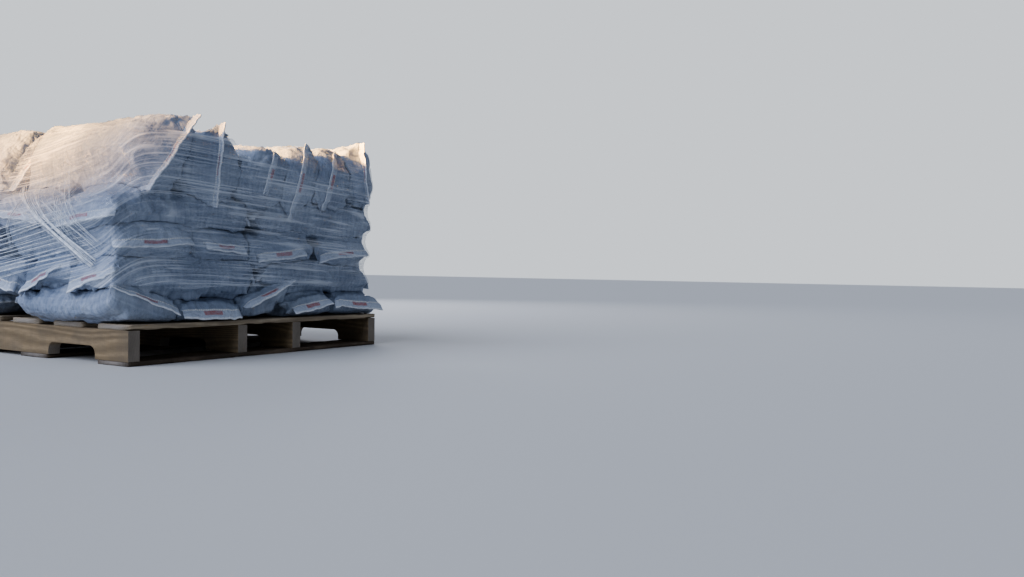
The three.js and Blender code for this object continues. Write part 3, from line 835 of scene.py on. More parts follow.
# %% [markdown]
# ## Filling the sack
#
# Wrinkles could be painted with noise, but real ones follow from how a sack is made: a flat tube has
# as much cloth near its sewn ends as in the middle, so where the filling narrows to the hem the
# spare cloth folds. Blender's Cloth can show that. Its rest shape is a shape key of the sack laid
# flat at its true size, its start is the CAD form, and pressure keeps it full. Weak pins hold it
# near its place. The result is copied out and no Cloth stays on the piece.

# %% Simulate the cloth
SPARE_LENGTH, SPARE_GIRTH = 1.025, 1.015
HOLD, HOLD_HEM = 0.09, 0.7
SHEET_APART = 0.0015
CLOTH_FRAMES = 18
CLOTH_SETTINGS = {"quality": 5, "mass": 0.15, "tension_stiffness": 30, "compression_stiffness": 30,
                  "shear_stiffness": 8, "bending_stiffness": 0.08, "tension_damping": 15,
                  "compression_damping": 15, "air_damping": 4, "use_pressure": True,
                  "uniform_pressure_force": 2.0, "pin_stiffness": 1.0}


def flat_sack(grid, girth):
    """The sack's tube laid flat: two sheets of half the girth, as long as the longer of the filled
    sack's top and bottom, with a little to spare. Also gives the distance along for each ring."""
    around = grid.shape[1]
    top, bottom = around // 4, 3 * around // 4
    steps = [np.linalg.norm(np.diff(grid[:, column], axis=0), axis=1) for column in (top, bottom)]
    walked = np.concatenate([[0], np.cumsum(np.maximum(*steps))]) * SPARE_LENGTH
    turn = np.arange(around) / around
    half = girth / 4 * SPARE_GIRTH
    across = half * (2 * np.abs(2 * turn - 1) - 1)
    through = SHEET_APART * np.sin(2 * math.pi * turn)
    rows = walked - walked[-1] / 2
    flat = np.stack(np.broadcast_arrays(rows[:, None], -across, through), -1)
    return flat, walked, 2 * half


def sewn_ends(rows, around):
    """Quads and triangles that close the first and last ring, from each point to the one facing it."""
    facing = np.arange(1, around // 2 - 1)
    quads = np.stack([facing, facing + 1, around - facing - 1, around - facing], -1)
    half = around // 2
    points = np.array([[0, 1, around - 1], [half - 1, half, half + 1]])
    last = (rows - 1) * around
    return np.concatenate([quads[:, ::-1], quads + last]), np.concatenate([points[:, ::-1], points + last])


def cloth_object(sack):
    """A cloth that starts as the sack's rings and rests as the flat tube. It lies in the sack's own
    axes and meets nothing there, so nothing but its own shape and the pressure moves it."""
    grid = sack["grid"]
    rows, around = grid.shape[:2]
    flat, sack["walked"], sack["flat_width"] = flat_sack(grid, sack["girth"])
    end_quads, end_points = sewn_ends(rows, around)
    faces = [np.concatenate([tube_quads(rows, around), end_quads]), end_points]
    cloth = add_piece("cloth_of_" + sack["name"], grid.reshape(-1, 3), faces, None)
    cloth.data.flip_normals()  # pressure acts along the normals, so they have to point outwards
    cloth.shape_key_add(name="Basis")
    key = cloth.shape_key_add(name="Flat")
    key.data.foreach_set("co", flat.astype(np.float32).ravel())
    held = cloth.vertex_groups.new(name="held")
    held.add(list(range(rows * around)), HOLD, "REPLACE")
    held.add([*range(around), *range((rows - 1) * around, rows * around)], HOLD_HEM, "REPLACE")
    modifier = cloth.modifiers.new("cloth", "CLOTH")
    for setting, value in CLOTH_SETTINGS.items():
        setattr(modifier.settings, setting, value)
    modifier.settings.rest_shape_key = key
    modifier.settings.vertex_group_mass = "held"
    modifier.settings.effector_weights.gravity = 0
    modifier.collision_settings.use_collision = False
    modifier.collision_settings.use_self_collision = False
    modifier.point_cache.frame_start, modifier.point_cache.frame_end = 1, CLOTH_FRAMES
    return cloth


def simulate(all_sacks):
    """Steps every cloth together and writes each sack's new grid."""
    scene = bpy.context.scene
    scene.frame_start, scene.frame_end = 1, CLOTH_FRAMES
    cloths = [cloth_object(sack) for sack in all_sacks]
    for step in range(1, CLOTH_FRAMES + 1):
        scene.frame_set(step)
    evaluated = bpy.context.evaluated_depsgraph_get()
    for sack, cloth in zip(all_sacks, cloths):
        mesh = cloth.evaluated_get(evaluated).data
        points = np.empty(len(mesh.vertices) * 3, np.float32)
        mesh.vertices.foreach_get("co", points)
        sack["filled"] = points.reshape(sack["grid"].shape).astype(float)
    for cloth in cloths:
        bpy.data.meshes.remove(cloth.data)
    scene.frame_set(1)


simulate(sacks)
moved = np.concatenate([np.linalg.norm(s["filled"] - s["grid"], axis=-1).ravel() for s in sacks])
print("cloth moved by", round(moved.mean() * 1000, 1), "mm on average, at most", round(moved.max() * 1000, 1))

# %% [markdown]
# ## Room to swell
#
# The cloth was free to pass through its neighbours. How far a point may really move outwards is
# found with rays: half of what is free between it and the next solid, less a small clearance, and
# never more than a cap. Where a neighbour is near, the filling flows until the two press on each
# other, so both move out by their whole half. Inwards, a fold may go as deep as a cap of its own.
# Collisions in the simulation would be exact but slow for so many sacks. The rays are quick, but where
# two sacks press on each other their cloths may still run together by some millimetres, mostly out
# of sight.

# %% Keep sacks out of each other
SWELL_CAP, FOLD_CAP, SLIDE_CAP = 0.012, 0.016, 0.010
CLEARANCE = 0.0012
APART, PRESSING = 0.062, 0.040
RAY_LENGTH, RAY_BACK = 0.08, 0.002

all_triangles = {name: triangles(name) for name in nodes if name != "stretch_wrap"}


def grid_normals(grid):
    """Outward normals: the cross product of the steps along the rows and round them."""
    along = np.gradient(grid, axis=0)
    round_it = np.roll(grid, -1, 1) - np.roll(grid, 1, 1)
    normal = np.cross(along, round_it)
    return normal / np.maximum(np.linalg.norm(normal, axis=-1, keepdims=True), 1e-12)


def free_room(sack):
    """For each point of the sack's rings, half the distance outwards to any other solid, less the
    clearance. The rays start RAY_BACK under the surface."""
    own_low, own_high = (np.array(corner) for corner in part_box(sack["name"]))
    near = []
    for name, tris in all_triangles.items():
        low, high = tris.min((0, 1)), tris.max((0, 1))
        close = (low < own_high + RAY_LENGTH).all() and (high > own_low - RAY_LENGTH).all()
        if close and name != sack["name"]:
            near.append(tris)
    corners = np.concatenate(near).reshape(-1, 3)
    tree = BVHTree.FromPolygons(corners.tolist(), np.arange(len(corners)).reshape(-1, 3).tolist())
    world = sack["grid"] @ sack["axes"] + sack["middle"]
    normals = grid_normals(sack["grid"]) @ sack["axes"]
    starts = (world - normals * RAY_BACK).reshape(-1, 3).tolist()
    hits = [tree.ray_cast(Vector(p), Vector(n), RAY_LENGTH)[3]
            for p, n in zip(starts, normals.reshape(-1, 3).tolist())]
    room = np.array([RAY_LENGTH if hit is None else hit for hit in hits]) - RAY_BACK
    return (room / 2 - CLEARANCE).reshape(sack["grid"].shape[:2])


def pressed_share(sack):
    """How far each point is pushed against its neighbour: an S curve of the gap between them, from none
    at APART to the whole of its half at PRESSING, and none in a hem that stands out."""
    gap = 2 * (sack["room"] + CLEARANCE)
    near = np.clip((APART - gap) / (APART - PRESSING), 0, 1)
    hems = [0 if fold else HEM_DEPTH for fold in sack["folds"]]
    walked = sack["walked"]
    inside = np.minimum(walked - hems[0], walked[-1] - walked - hems[1])
    return near * near * (3 - 2 * near) * np.clip(inside / 0.03, 0, 1)[:, None]


def settle(sack):
    """Splits each move into its outward and its sideways part and limits both. A limit is bent in by
    m tanh(x / m): a small x passes as it is, and a large one comes near m."""
    move = sack["filled"] - sack["grid"]
    normal = grid_normals(sack["grid"])
    outward = (move * normal).sum(-1)
    sideways = move - outward[..., None] * normal
    limit = np.clip(np.minimum(SWELL_CAP, sack["room"]), 0, None)
    outward = np.where(outward > 0, limit * np.tanh(outward / np.maximum(limit, 1e-5)),
                       FOLD_CAP * np.tanh(outward / FOLD_CAP))
    pressed = pressed_share(sack)
    outward = outward * (1 - pressed) + np.clip(sack["room"], 0, None) * pressed
    length = np.maximum(np.linalg.norm(sideways, axis=-1, keepdims=True), 1e-9)
    sideways = sideways * SLIDE_CAP * np.tanh(length / SLIDE_CAP) / length
    squeezed = np.minimum(sack["room"], 0)
    sack["room"] = sack["room"] - np.clip(outward, 0, None)
    return sack["grid"] + sideways + (outward + squeezed)[..., None] * normal


for sack in sacks:
    sack["room"] = free_room(sack)
    sack["filled"] = settle(sack)
print("room found for", sum(s["room"].size for s in sacks), "points")

# %% [markdown]
# ## Finer cloth and creases
#
# The simulated grid is coarse enough to be quick. Here a new point is put between each two, on the
# smooth curve through four, which halves the steps. Then come the things a coarse cloth can't show:
# pleats behind the hems, folds that fan out from their corners, and sharp little creases. Nothing
# presses on the top layer, so its cloth is slacker and its folds are deeper.

# %% Refine and crease
PLEAT_WIDTH, PLEAT_LENGTH, PLEAT_HEIGHT, PLEAT_FADE = 0.017, 0.16, 0.0036, 0.10
PLEAT_STRAY, PLEAT_STRAY_SIZE = 0.6, 0.05
RAY_ANGLE, RAY_RUN, RAY_HEIGHT, RAY_FADE, RAY_START = 0.21, 0.09, 0.0042, 0.13, 0.03
RAY_STRAY, RAY_STRAY_SIZE = 0.5, 0.06
PLEAT_LEVEL, RAY_LEVEL, CREASE_LEVEL = 0.35, 0.45, 0.6
GROWN_AT_HEM, GROWING_OVER = 0.4, 0.02
RELIEF_IN_ROOM = 0.5
SLACK_ON_TOP = 2.4
CREASE_LENGTH, CREASE_WIDTH, CREASE_HEIGHT = 0.11, 0.030, 0.0020
LUMP_SIZE, LUMP_HEIGHT = 0.12, 0.0035


def halve_steps(grid, closed):
    """Puts a point between each two rows: nine sixteenths of both neighbours less a sixteenth of the
    next two. Closed grids wrap round; open ones repeat their end rows."""
    before = np.roll(grid, 1, 0) if closed else np.concatenate([grid[:1], grid[:-1]])
    after = np.roll(grid, -1, 0) if closed else np.concatenate([grid[1:], grid[-1:]])
    beyond = np.roll(grid, -2, 0) if closed else np.concatenate([grid[2:], grid[-1:], grid[-1:]])
    between = (9 * (grid + after) - before - beyond) / 16
    woven = np.stack([grid, between], 1).reshape(-1, *grid.shape[1:])
    return woven if closed else woven[:-1]


def finer(grid):
    """Halves the steps along the rows, then round them."""
    grid = halve_steps(grid, False)
    return np.swapaxes(halve_steps(np.swapaxes(grid, 0, 1), True), 0, 1)


def ridges(x, y, seed):
    """Sharp-topped creases: one less twice the size of a noise, so a crest runs where the noise is nil."""
    return 1 - 2 * np.abs(lattice_noise(x, y, seed))


def crease(sack, seed):
    """Relief of the cloth: pleats behind both hems that fade with the distance from the seam, folds that
    run out like rays from the corners of the hems, small crossed creases, and the lumps of the filling.
    A ridge is raised by what it has above its level. All relief takes up half of the free room at
    most."""
    grid = sack["skin"]
    rows, around = grid.shape[:2]
    hidden = [HEM_DEPTH if fold else 0.0 for fold in sack["folds"]]
    along = hidden[0] + np.interp(np.arange(rows) / 2, np.arange(len(sack["walked"])), sack["walked"])
    sack["along"], sack["whole"] = along, along[-1] + hidden[1]
    width = sack["flat_width"]
    u, v = np.broadcast_arrays(along[:, None], (np.arange(around) / around * 2 * width)[None])
    behind = np.minimum(u, sack["whole"] - u) - HEM_DEPTH
    stray = PLEAT_STRAY * lattice_noise(u / PLEAT_STRAY_SIZE, v / PLEAT_STRAY_SIZE, seed)
    pleats = ridges(v / PLEAT_WIDTH + stray, u / PLEAT_LENGTH, seed + 1)
    growing = np.clip(behind / GROWING_OVER + GROWN_AT_HEM, 0, 1)
    slack = SLACK_ON_TOP if sack["layer"] == 5 else 1.0
    height = PLEAT_HEIGHT * np.exp(-np.clip(behind, 0, None) / PLEAT_FADE) * growing * (pleats - PLEAT_LEVEL)

    to_edge = np.minimum(v % width, width - v % width)
    far = np.hypot(np.clip(behind, 0, None), to_edge)
    turn = np.arctan2(to_edge, np.clip(behind, 1e-4, None))
    stray = RAY_STRAY * lattice_noise(u / RAY_STRAY_SIZE, v / RAY_STRAY_SIZE, seed + 4)
    rays = ridges(turn / RAY_ANGLE + stray, far / RAY_RUN, seed + 5)
    ray_height = slack * RAY_HEIGHT * np.exp(-far / RAY_FADE) * growing * np.clip(far / RAY_START, 0, 1)
    height = height + ray_height * (rays - RAY_LEVEL)

    fine = ridges((u + v) / CREASE_LENGTH, (u - v) / CREASE_WIDTH, seed + 2)
    fine = fine + ridges((u - v) / CREASE_LENGTH, (u + v) / CREASE_WIDTH, seed + 3)
    lumps = lattice_noise(u / LUMP_SIZE, v / LUMP_SIZE, seed + 6)
    height = height + growing * (slack * CREASE_HEIGHT * (fine - CREASE_LEVEL) / 2 + LUMP_HEIGHT * lumps)
    room = finer(sack["room"][..., None])[..., 0]
    height = np.minimum(height, np.clip(room, 0, None) * RELIEF_IN_ROOM)
    sack["skin"] = grid + height[..., None] * grid_normals(grid)


print("a grid of 5 by 8 points becomes one of", finer(np.zeros((5, 8, 3))).shape[:2])

# %% [markdown]
# ## Hems that hang or are lifted
#
# The mouth of a sack is folded over and sewn into a thin strip. Where the strip stands out it tips
# over and hangs down; in the lowest layer the deck lifts it first, and the sacks on edge at the top
# keep theirs straight. A simulation could bend it, but it only turns about one line, which an arc and
# a straight piece describe exactly. Each point is then pushed out until it lies on what bulges
# behind it.

# %% Hang and lift the hems
HEM_HALF_THICKNESS = 0.0013
HANGING_LAYERS = (1, 2, 3, 4)
HANG_FROM, HANG_ARC, HANG_LOOK, HANG_NEAR = 0.027, 0.010, 0.09, 0.008
HANG_LEAST, HANG_MOST = math.radians(40), math.radians(68)
LOW_HEM_LIFT, LOW_HEM_FADE = 0.015, 0.045


def own_reach(body, spots):
    """How far out the body of the sack comes near each spot of its hem: the largest place along of the
    points that lie within HANG_NEAR of it across and up."""
    beside = np.abs(body[:, 1] - spots[:, 1:2]) < HANG_NEAR
    level = np.abs(body[:, 2] - spots[:, 2:3]) < HANG_NEAR
    return np.where(beside & level, body[:, 0], -np.inf).max(1)


def lift_low_hem(sack, side):
    """Raises a hem of the lowest layer, whose free edge lies on the deck, and fades out behind it."""
    walked = sack["along"] if side < 0 else sack["whole"] - sack["along"]
    share = np.clip(1 - (walked - HANG_FROM) / LOW_HEM_FADE, 0, 1)
    sack["skin"][..., 2] += (LOW_HEM_LIFT * share * share * (3 - 2 * share))[:, None]


def hang_hem(sack, side, bend):
    """Bends a hem that stands out down against the load: it goes round an arc and then straight on.
    Past an arc of length b and angle a it has come forward by b sin(a) / a and down by
    b (1 - cos(a)) / a. Down is square to the hem, and the two sides of the strip turn with it. It
    lies on what bulges behind it, and each row is pushed out at least as far as the row before."""
    grid = sack["skin"]
    facing = (-np.arange(grid.shape[1])) % grid.shape[1]
    walked = sack["along"] if side < 0 else sack["whole"] - sack["along"]
    rows, behind = walked < HANG_FROM, (walked >= HANG_FROM) & (walked < HANG_FROM + HANG_LOOK)
    strip, past = grid[rows], (HANG_FROM - walked[rows])[:, None]
    arc = np.minimum(past, HANG_ARC)
    angle = bend * arc / HANG_ARC
    forward = HANG_ARC / bend * np.sin(angle) + (past - arc) * math.cos(bend)
    down = HANG_ARC / bend * (1 - np.cos(angle)) + (past - arc) * math.sin(bend)
    off_middle = (strip - strip[:, facing])[..., 2] / 2
    seam = ((grid + grid[:, facing]) / 2)[0 if side < 0 else -1]
    run = unit((seam[grid.shape[1] // 2] - seam[0])[1:])
    fall = np.array([run[1], -run[0]]) * np.sign(run[0])
    out = side * strip[..., 0] + forward - past + off_middle * np.sin(angle)
    up = strip[..., 2] + off_middle * (np.cos(angle) - 1) + fall[1] * down
    aside = strip[..., 1] + fall[0] * down
    spots = np.stack([out, aside, up], -1)
    reach = own_reach(grid[behind].reshape(-1, 3) * (side, 1, 1), spots.reshape(-1, 3)).reshape(out.shape)
    push = np.clip(reach + HEM_HALF_THICKNESS * (1.5 + np.sign(off_middle)) - out, 0, None)
    push = np.max([np.roll(push, step, 1) for step in range(-3, 4)], 0)
    push = np.mean([np.roll(push, step, 1) for step in range(-4, 5)], 0)
    push = np.maximum(push, push[:, facing]) * np.clip(past / HANG_ARC, 0, 1)
    push = np.maximum.accumulate(push[::side])[::side]
    grid[rows] = np.stack([side * (out + push), aside, up], -1)


print("hems hang by", round(math.degrees(HANG_LEAST)), "to", round(math.degrees(HANG_MOST)), "degrees")

# %% [markdown]
# ## Hems pressed flat, and hems folded over
#
# The simulated mouth still gapes. Pressing it moves each point towards the one that faces it, so
# two sheets of cloth end up as one strip with a little wave and a frayed edge. A folded hem lies flat
# on the end of the sack, so it is added as rows of its own before the first ring or after the last.

# %% Press and fold the hems
HEM_REACH, PRESS_FADE, WAVE_FADE = 0.007, 0.014, 0.045
HEM_WAVE, HEM_RIPPLE, HEM_FRAY = 0.0052, 0.0020, 0.0024
HEM_WAVE_LENGTH, HEM_RIPPLE_LENGTH, HEM_FRAY_LENGTH = 0.055, 0.018, 0.012
TUCKED_LAYERS = (2, 3, 4)
EAR_FROM, EAR_TUCK = 0.62, 0.022
STRIP_PLACES = np.array([0, 0.3, 0.6, 0.85])
STRIP_OFF, STRIP_LIFT, STRIP_LIFT_VARIES = 0.0012, 0.0035, 0.0025


def press_hem(sack, seed):
    """Presses the last centimetres at an end whose hem stands out into a strip. Each point and the one
    facing it move to their middle line, half the strip's thickness apart. The strip reaches out a
    little and waves. Under the wrap its corners are rounded off, drawn in by the wrap's pull."""
    grid = sack["skin"]
    rows, around = grid.shape[:2]
    facing = (-np.arange(around)) % around
    middle = (grid + grid[:, facing]) / 2
    half = (grid - grid[:, facing]) / 2
    size = np.maximum(np.linalg.norm(half, axis=-1, keepdims=True), 1e-9)
    first = sack["along"] < sack["whole"] / 2
    stands = np.where(first, sack["folds"][0] == 0, sack["folds"][1] == 0)[:, None, None]
    walked = np.minimum(sack["along"], sack["whole"] - sack["along"])[:, None, None]
    pressed = np.clip(1 - (walked - HEM_DEPTH) / PRESS_FADE, 0, 1) * stands
    pressed = pressed * pressed * (3 - 2 * pressed)
    thin = half / size * np.minimum(size, HEM_HALF_THICKNESS * (1 + 0.5 * (walked < HEM_DEPTH * 0.8)))
    grid = middle + thin * pressed + half * (1 - pressed)
    out = np.clip(1 - walked / (HEM_DEPTH * 1.6), 0, 1) * stands
    side = np.where(first, -1.0, 1.0)[:, None]
    shift = np.where(first, 3.3, 7.7)[:, None]
    cross = grid[..., 1].copy()
    if sack["layer"] in TUCKED_LAYERS:
        near_end = (np.clip(1.4 - walked / 0.05, 0, 1) * stands)[..., 0]
        off_centre = np.abs(cross) / np.abs(cross).max(1, keepdims=True)
        corner = np.clip((off_centre - EAR_FROM) / (1 - EAR_FROM), 0, 1)
        tuck = EAR_TUCK * corner ** 2 * near_end
        grid[..., 0] -= side * tuck
        grid[..., 1] -= np.sign(cross) * tuck
    level = cross * 0 + seed
    wave = lattice_noise(cross / HEM_WAVE_LENGTH + shift, level, seed) * HEM_WAVE
    wave = wave + lattice_noise(cross / HEM_RIPPLE_LENGTH + shift, level, seed + 5) * HEM_RIPPLE
    fray = lattice_noise(cross / HEM_FRAY_LENGTH + 5 * shift, level, seed + 7) * HEM_FRAY
    grid[..., 0] += side * out[..., 0] * (HEM_REACH + fray)
    grid[..., 2] += (np.clip(1 - walked / WAVE_FADE, 0, 1) * stands)[..., 0] * wave
    sack["skin"] = grid


def folded_strip(ring, fold, outward, seed):
    """Rows of a hem that lies folded to one side, from its free edge to the seam. It lies across the end,
    a few millimetres off it where it waves, and has the same thickness as a hem that stands out."""
    around = len(ring)
    middle = (ring + ring[(-np.arange(around)) % around]) / 2
    reach = HEM_DEPTH * (1 - STRIP_PLACES)
    cross = middle[:, 1]
    ragged = 1 + 0.06 * lattice_noise(cross / HEM_FRAY_LENGTH, cross * 0 + seed, seed)
    lift = STRIP_LIFT + STRIP_LIFT_VARIES * lattice_noise(cross / 0.05, cross * 0 + seed, seed + 1)
    upper = np.where(np.arange(around) < around / 2, 1.0, -1.0)
    upper = upper * np.sin(math.pi * column_share(around)) ** 0.3
    off = STRIP_OFF + lift * (reach[:, None] / HEM_DEPTH) - fold * upper * HEM_HALF_THICKNESS
    return middle + np.stack([outward * off, off * 0, fold * reach[:, None] * ragged], -1)


def add_folded_hems(sack, seed):
    """Puts the strips of folded hems on the ends of the sack's rows."""
    skin, along = sack["skin"], sack["along"]
    strip_along = HEM_DEPTH * STRIP_PLACES
    if sack["folds"][0]:
        strip = folded_strip(skin[0], sack["folds"][0], -1, seed)
        skin, along = np.concatenate([strip, skin]), np.concatenate([strip_along, along])
    if sack["folds"][1]:
        strip = folded_strip(skin[-1], sack["folds"][1], 1, seed + 3)
        skin = np.concatenate([skin, strip[::-1]])
        along = np.concatenate([along, sack["whole"] - strip_along[::-1]])
    sack["skin"], sack["along"] = skin, along


print("hems are pressed to", round(2000 * HEM_HALF_THICKNESS, 1), "mm")

# %% [markdown]
# ## Every sack shaped
#
# The steps come in the order in which they build on each other: finer cloth, creases, the pressed
# hem, its lift or its hang, and last the strips of the folded hems. Each sack has seeds of its own,
# so no two are alike, and every run gives the same sacks.

# %% Shape every sack
FIRST_SEED, SEEDS_EACH = 1000, 20

for index, sack in enumerate(sacks):
    seed = FIRST_SEED + SEEDS_EACH * index
    sack["skin"] = finer(sack["filled"])
    crease(sack, seed)
    press_hem(sack, seed + 10)
    bends = np.random.default_rng(seed + 12).uniform(HANG_LEAST, HANG_MOST, 2)
    for side, fold, bend in zip((-1, 1), sack["folds"], bends):
        if sack["layer"] == 1 and not fold:
            lift_low_hem(sack, side)
        if sack["layer"] in HANGING_LAYERS and not fold:
            hang_hem(sack, side, bend)
    add_folded_hems(sack, seed + 13)
print("skin of", sum(s["skin"].shape[0] * s["skin"].shape[1] for s in sacks), "points")

# %% [markdown]
# ## Woven polypropylene
#
# The sacks are woven from flat plastic tapes about three millimetres wide. The cloth is white, but its
# tones here are painted darker and bluer than white, as painted cool shade. It takes a broad soft
# highlight, and shows the weave only close by, so the weave is relief and a faint change of tone.
# Sharp little creases run all over it. Handling leaves grey smudges, and streaks follow the tapes
# both ways, partly the tapes' own tone and partly a painted sheen. The strip at each hem is double
# cloth and paler, with a plain red bar printed on it. Strip and print are worn in small patches, the
# free edge frays into a pale fringe, and a row of stitches holds the mouth shut. A picture could carry
# all this, but would need unwrapping and blur close by; patterns on cloth coordinates stay sharp at
# any distance.

# %% Sack material
TAPE_WIDTH = 0.003
# the cloth is white; these tones are painted darker and bluer than white, as painted cool shade
SHADE_DARKENED_SACK_TONES = ("#717e94", "#8d99ad", "#b0bac9")
STRIP_TONE, FRINGE_TONE = "#c6cfdd", "#e6ebf2"
BAR_COLOUR, THREAD_COLOUR = "#a2443f", "#f4f2ec"
BAR_MIDDLE, BAR_HALF_DEPTH, BAR_HALF_LENGTH = 0.0165, 0.0055, 0.042
CREASES_PER_METRE, CRUMPLES_PER_METRE, WORN_PER_METRE = 15.0, 45.0, 160.0
STRIP_END, FRINGE_END, FRINGE_RAGGED, SOFT_EDGE = 0.0245, 0.010, 0.012, 0.0015
# streaks per metre along and across the sack, partly the tapes' own tone and partly a painted sheen; drawn
# two or three tapes wide, so that they show
TAPE_AND_SHEEN_STREAKS = ((3.0, 200.0, 1.0), (110.0, 4.0, 1.0))
STITCH, STITCH_LINE, STITCH_HALF = 0.008, 0.0235, 0.0009


def band(tree, value, centre, half_width, softness):
    """One where a value lies within half a width of a centre, falling to nothing over the softness."""
    away = maths(tree, "ABSOLUTE", maths(tree, "SUBTRACT", value, centre))
    return mapped(tree, away, half_width + softness, half_width - softness)


def woven_polypropylene():
    """Woven polypropylene tape cloth: IOR 1.49, roughness 0.25 to 0.5, rougher where it is smudged."""
    material, tree, shader = new_material("woven_polypropylene")
    cloth = add_node(tree, "ShaderNodeUVMap", uv_map="cloth").outputs[0]
    place = add_node(tree, "ShaderNodeTexCoord").outputs["Object"]
    u, v, _ = add_node(tree, "ShaderNodeSeparateXYZ", links={0: cloth}).outputs
    waves = [maths(tree, "SINE", maths(tree, "MULTIPLY", value, math.pi / TAPE_WIDTH)) for value in (u, v)]
    weave = maths(tree, "MULTIPLY", *waves)

    # streaks along and across the tapes: partly their own tone, partly a painted sheen
    tapes = [noise_at(tree, mapping(tree, cloth, Scale=scale), 1.0, 1.0) for scale in TAPE_AND_SHEEN_STREAKS]
    tape = add_node(tree, "ShaderNodeMix", {0: 0.65}, {2: tapes[0], 3: tapes[1]}).outputs[0]
    smudge = noise_at(tree, place, 6.0, 6.0, Roughness=0.62)
    tone = add_node(tree, "ShaderNodeMix", {0: 0.6}, {2: tape, 3: smudge}).outputs[0]
    tone = maths(tree, "MULTIPLY_ADD", weave, 0.03, tone)
    # white cloth in tones painted darker and bluer than white, as painted cool shade
    colour = ramp(tree, tone, list(zip((0.36, 0.5, 0.64), SHADE_DARKENED_SACK_TONES)))

    depth = maths(tree, "ABSOLUTE", u)
    worn = noise_at(tree, place, WORN_PER_METRE, 4.0, Roughness=0.7)
    left_over = mapped(tree, worn, 0.34, 0.60, 0.35, 0.85)
    strip = mapped(tree, depth, STRIP_END + SOFT_EDGE, STRIP_END - SOFT_EDGE)
    colour = overlaid(tree, colour, maths(tree, "MULTIPLY", strip, left_over), STRIP_TONE)
    ragged = maths(tree, "MULTIPLY_ADD", worn, FRINGE_RAGGED, depth)
    fringe = mapped(tree, ragged, FRINGE_END + SOFT_EDGE, FRINGE_END - SOFT_EDGE)
    colour = overlaid(tree, colour, fringe, FRINGE_TONE)
    across_bar = band(tree, maths(tree, "WRAP", v, 0.5, -0.5), 0.0, BAR_HALF_LENGTH, 0.002)
    along_bar = band(tree, depth, BAR_MIDDLE, BAR_HALF_DEPTH, 0.0012)
    printed = maths(tree, "MULTIPLY", maths(tree, "MULTIPLY", across_bar, along_bar), left_over)
    colour = overlaid(tree, colour, printed, BAR_COLOUR)
    stitches = maths(tree, "SINE", maths(tree, "MULTIPLY", v, 2 * math.pi / STITCH))
    seam = band(tree, depth, STITCH_LINE, STITCH_HALF, 0.0004)
    thread = maths(tree, "MULTIPLY", mapped(tree, stitches, -0.6, -0.2), seam)
    colour = overlaid(tree, colour, thread, THREAD_COLOUR)
    tree.links.new(colour, shader.inputs["Base Color"])

    folds = noise_at(tree, place, CREASES_PER_METRE, 3.0, Roughness=0.55, Distortion=0.6)
    crumple = noise_at(tree, place, CRUMPLES_PER_METRE, 4.0, Roughness=0.6, Distortion=0.8)
    crease_lines = maths(tree, "ABSOLUTE", maths(tree, "SUBTRACT", folds, 0.5))
    relief = bumped(tree, crease_lines, 0.7, 0.026)
    relief = bumped(tree, crumple, 0.6, 0.005, relief)
    relief = bumped(tree, weave, 0.35, 0.0005, relief)
    relief = bumped(tree, thread, 0.8, 0.0008, relief)
    tree.links.new(relief, shader.inputs["Normal"])
    tree.links.new(mapped(tree, smudge, 0.3, 0.7, 0.25, 0.50), shader.inputs["Roughness"])
    shader.inputs["IOR"].default_value = 1.49
    return material


woven = woven_polypropylene()
print("sack material:", woven.name, "with", len(woven.node_tree.nodes), "nodes")

# %% [markdown]
# ## Stretch wrap
#
# Stretch wrap is a clear, tacky film wound round the load under tension. It can't follow a hollow
# from side to side, so at each height it is the tight belt round whatever sticks out there: the
# convex outline. A cloth simulation would have to shrink a large fine mesh on forty-five bodies; the
# belt is a formula. For each direction, the load's reach is the largest projection of its points,
# and the belt's radius at an angle is the smallest reach divided by the cosine between the two.

# %% Belt round the load
FILM_LEVELS, FILM_AROUND, FILM_DIRECTIONS = 148, 640, 240
FILM_CLEARANCE = 0.0015
FILM_WINDOW = 0.010
BRIDGE_PASSES = 130
OUTER_ZONE = 0.2
EDGE_BELOW_TOP, EDGE_WAVE, TOUCH = 0.010, 0.008, 0.03

film_low, film_high = (np.array(corner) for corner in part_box("stretch_wrap"))
film_half = (film_high - film_low)[:2] / 2
for sack in sacks:
    sack["world"] = sack["skin"] @ sack["axes"] + sack["middle"]
skin_points = np.concatenate([sack["world"].reshape(-1, 3) for sack in sacks])
skin_points = skin_points[(np.abs(skin_points[:, :2]) > film_half - OUTER_ZONE).any(1)]


def around_rectangle(count, half):
    """Places at even steps round a rectangle from the middle of its -X side towards -Y, and the
    distance walked to each."""
    corners = np.array([[-half[0], 0], [-half[0], -half[1]], [half[0], -half[1]], [half[0], half[1]],
                        [-half[0], half[1]], [-half[0], 0]])
    walked = np.concatenate([[0], np.cumsum(np.linalg.norm(np.diff(corners, axis=0), axis=1))])
    steps = walked[-1] * np.arange(count) / count
    return np.stack([np.interp(steps, walked, corners[:, i]) for i in (0, 1)], -1), steps, walked


def belt_radius(points, angles):
    """Radius of the convex outline of points at each angle, seen from the origin."""
    directions = 2 * math.pi * np.arange(FILM_DIRECTIONS) / FILM_DIRECTIONS
    reach = (points[:, :1] * np.cos(directions) + points[:, 1:2] * np.sin(directions)).max(0)
    cosine = np.cos(directions - angles[:, None])
    return np.where(cosine > 0.05, reach / np.maximum(cosine, 0.05), np.inf).min(1)


def soften_rows(values, passes):
    """Moves each row towards the mean of its neighbours, keeping the first and last."""
    for _ in range(passes):
        inner = values[1:-1] / 2 + (values[:-2] + values[2:]) / 4
        values = np.concatenate([values[:1], inner, values[-1:]])
    return values


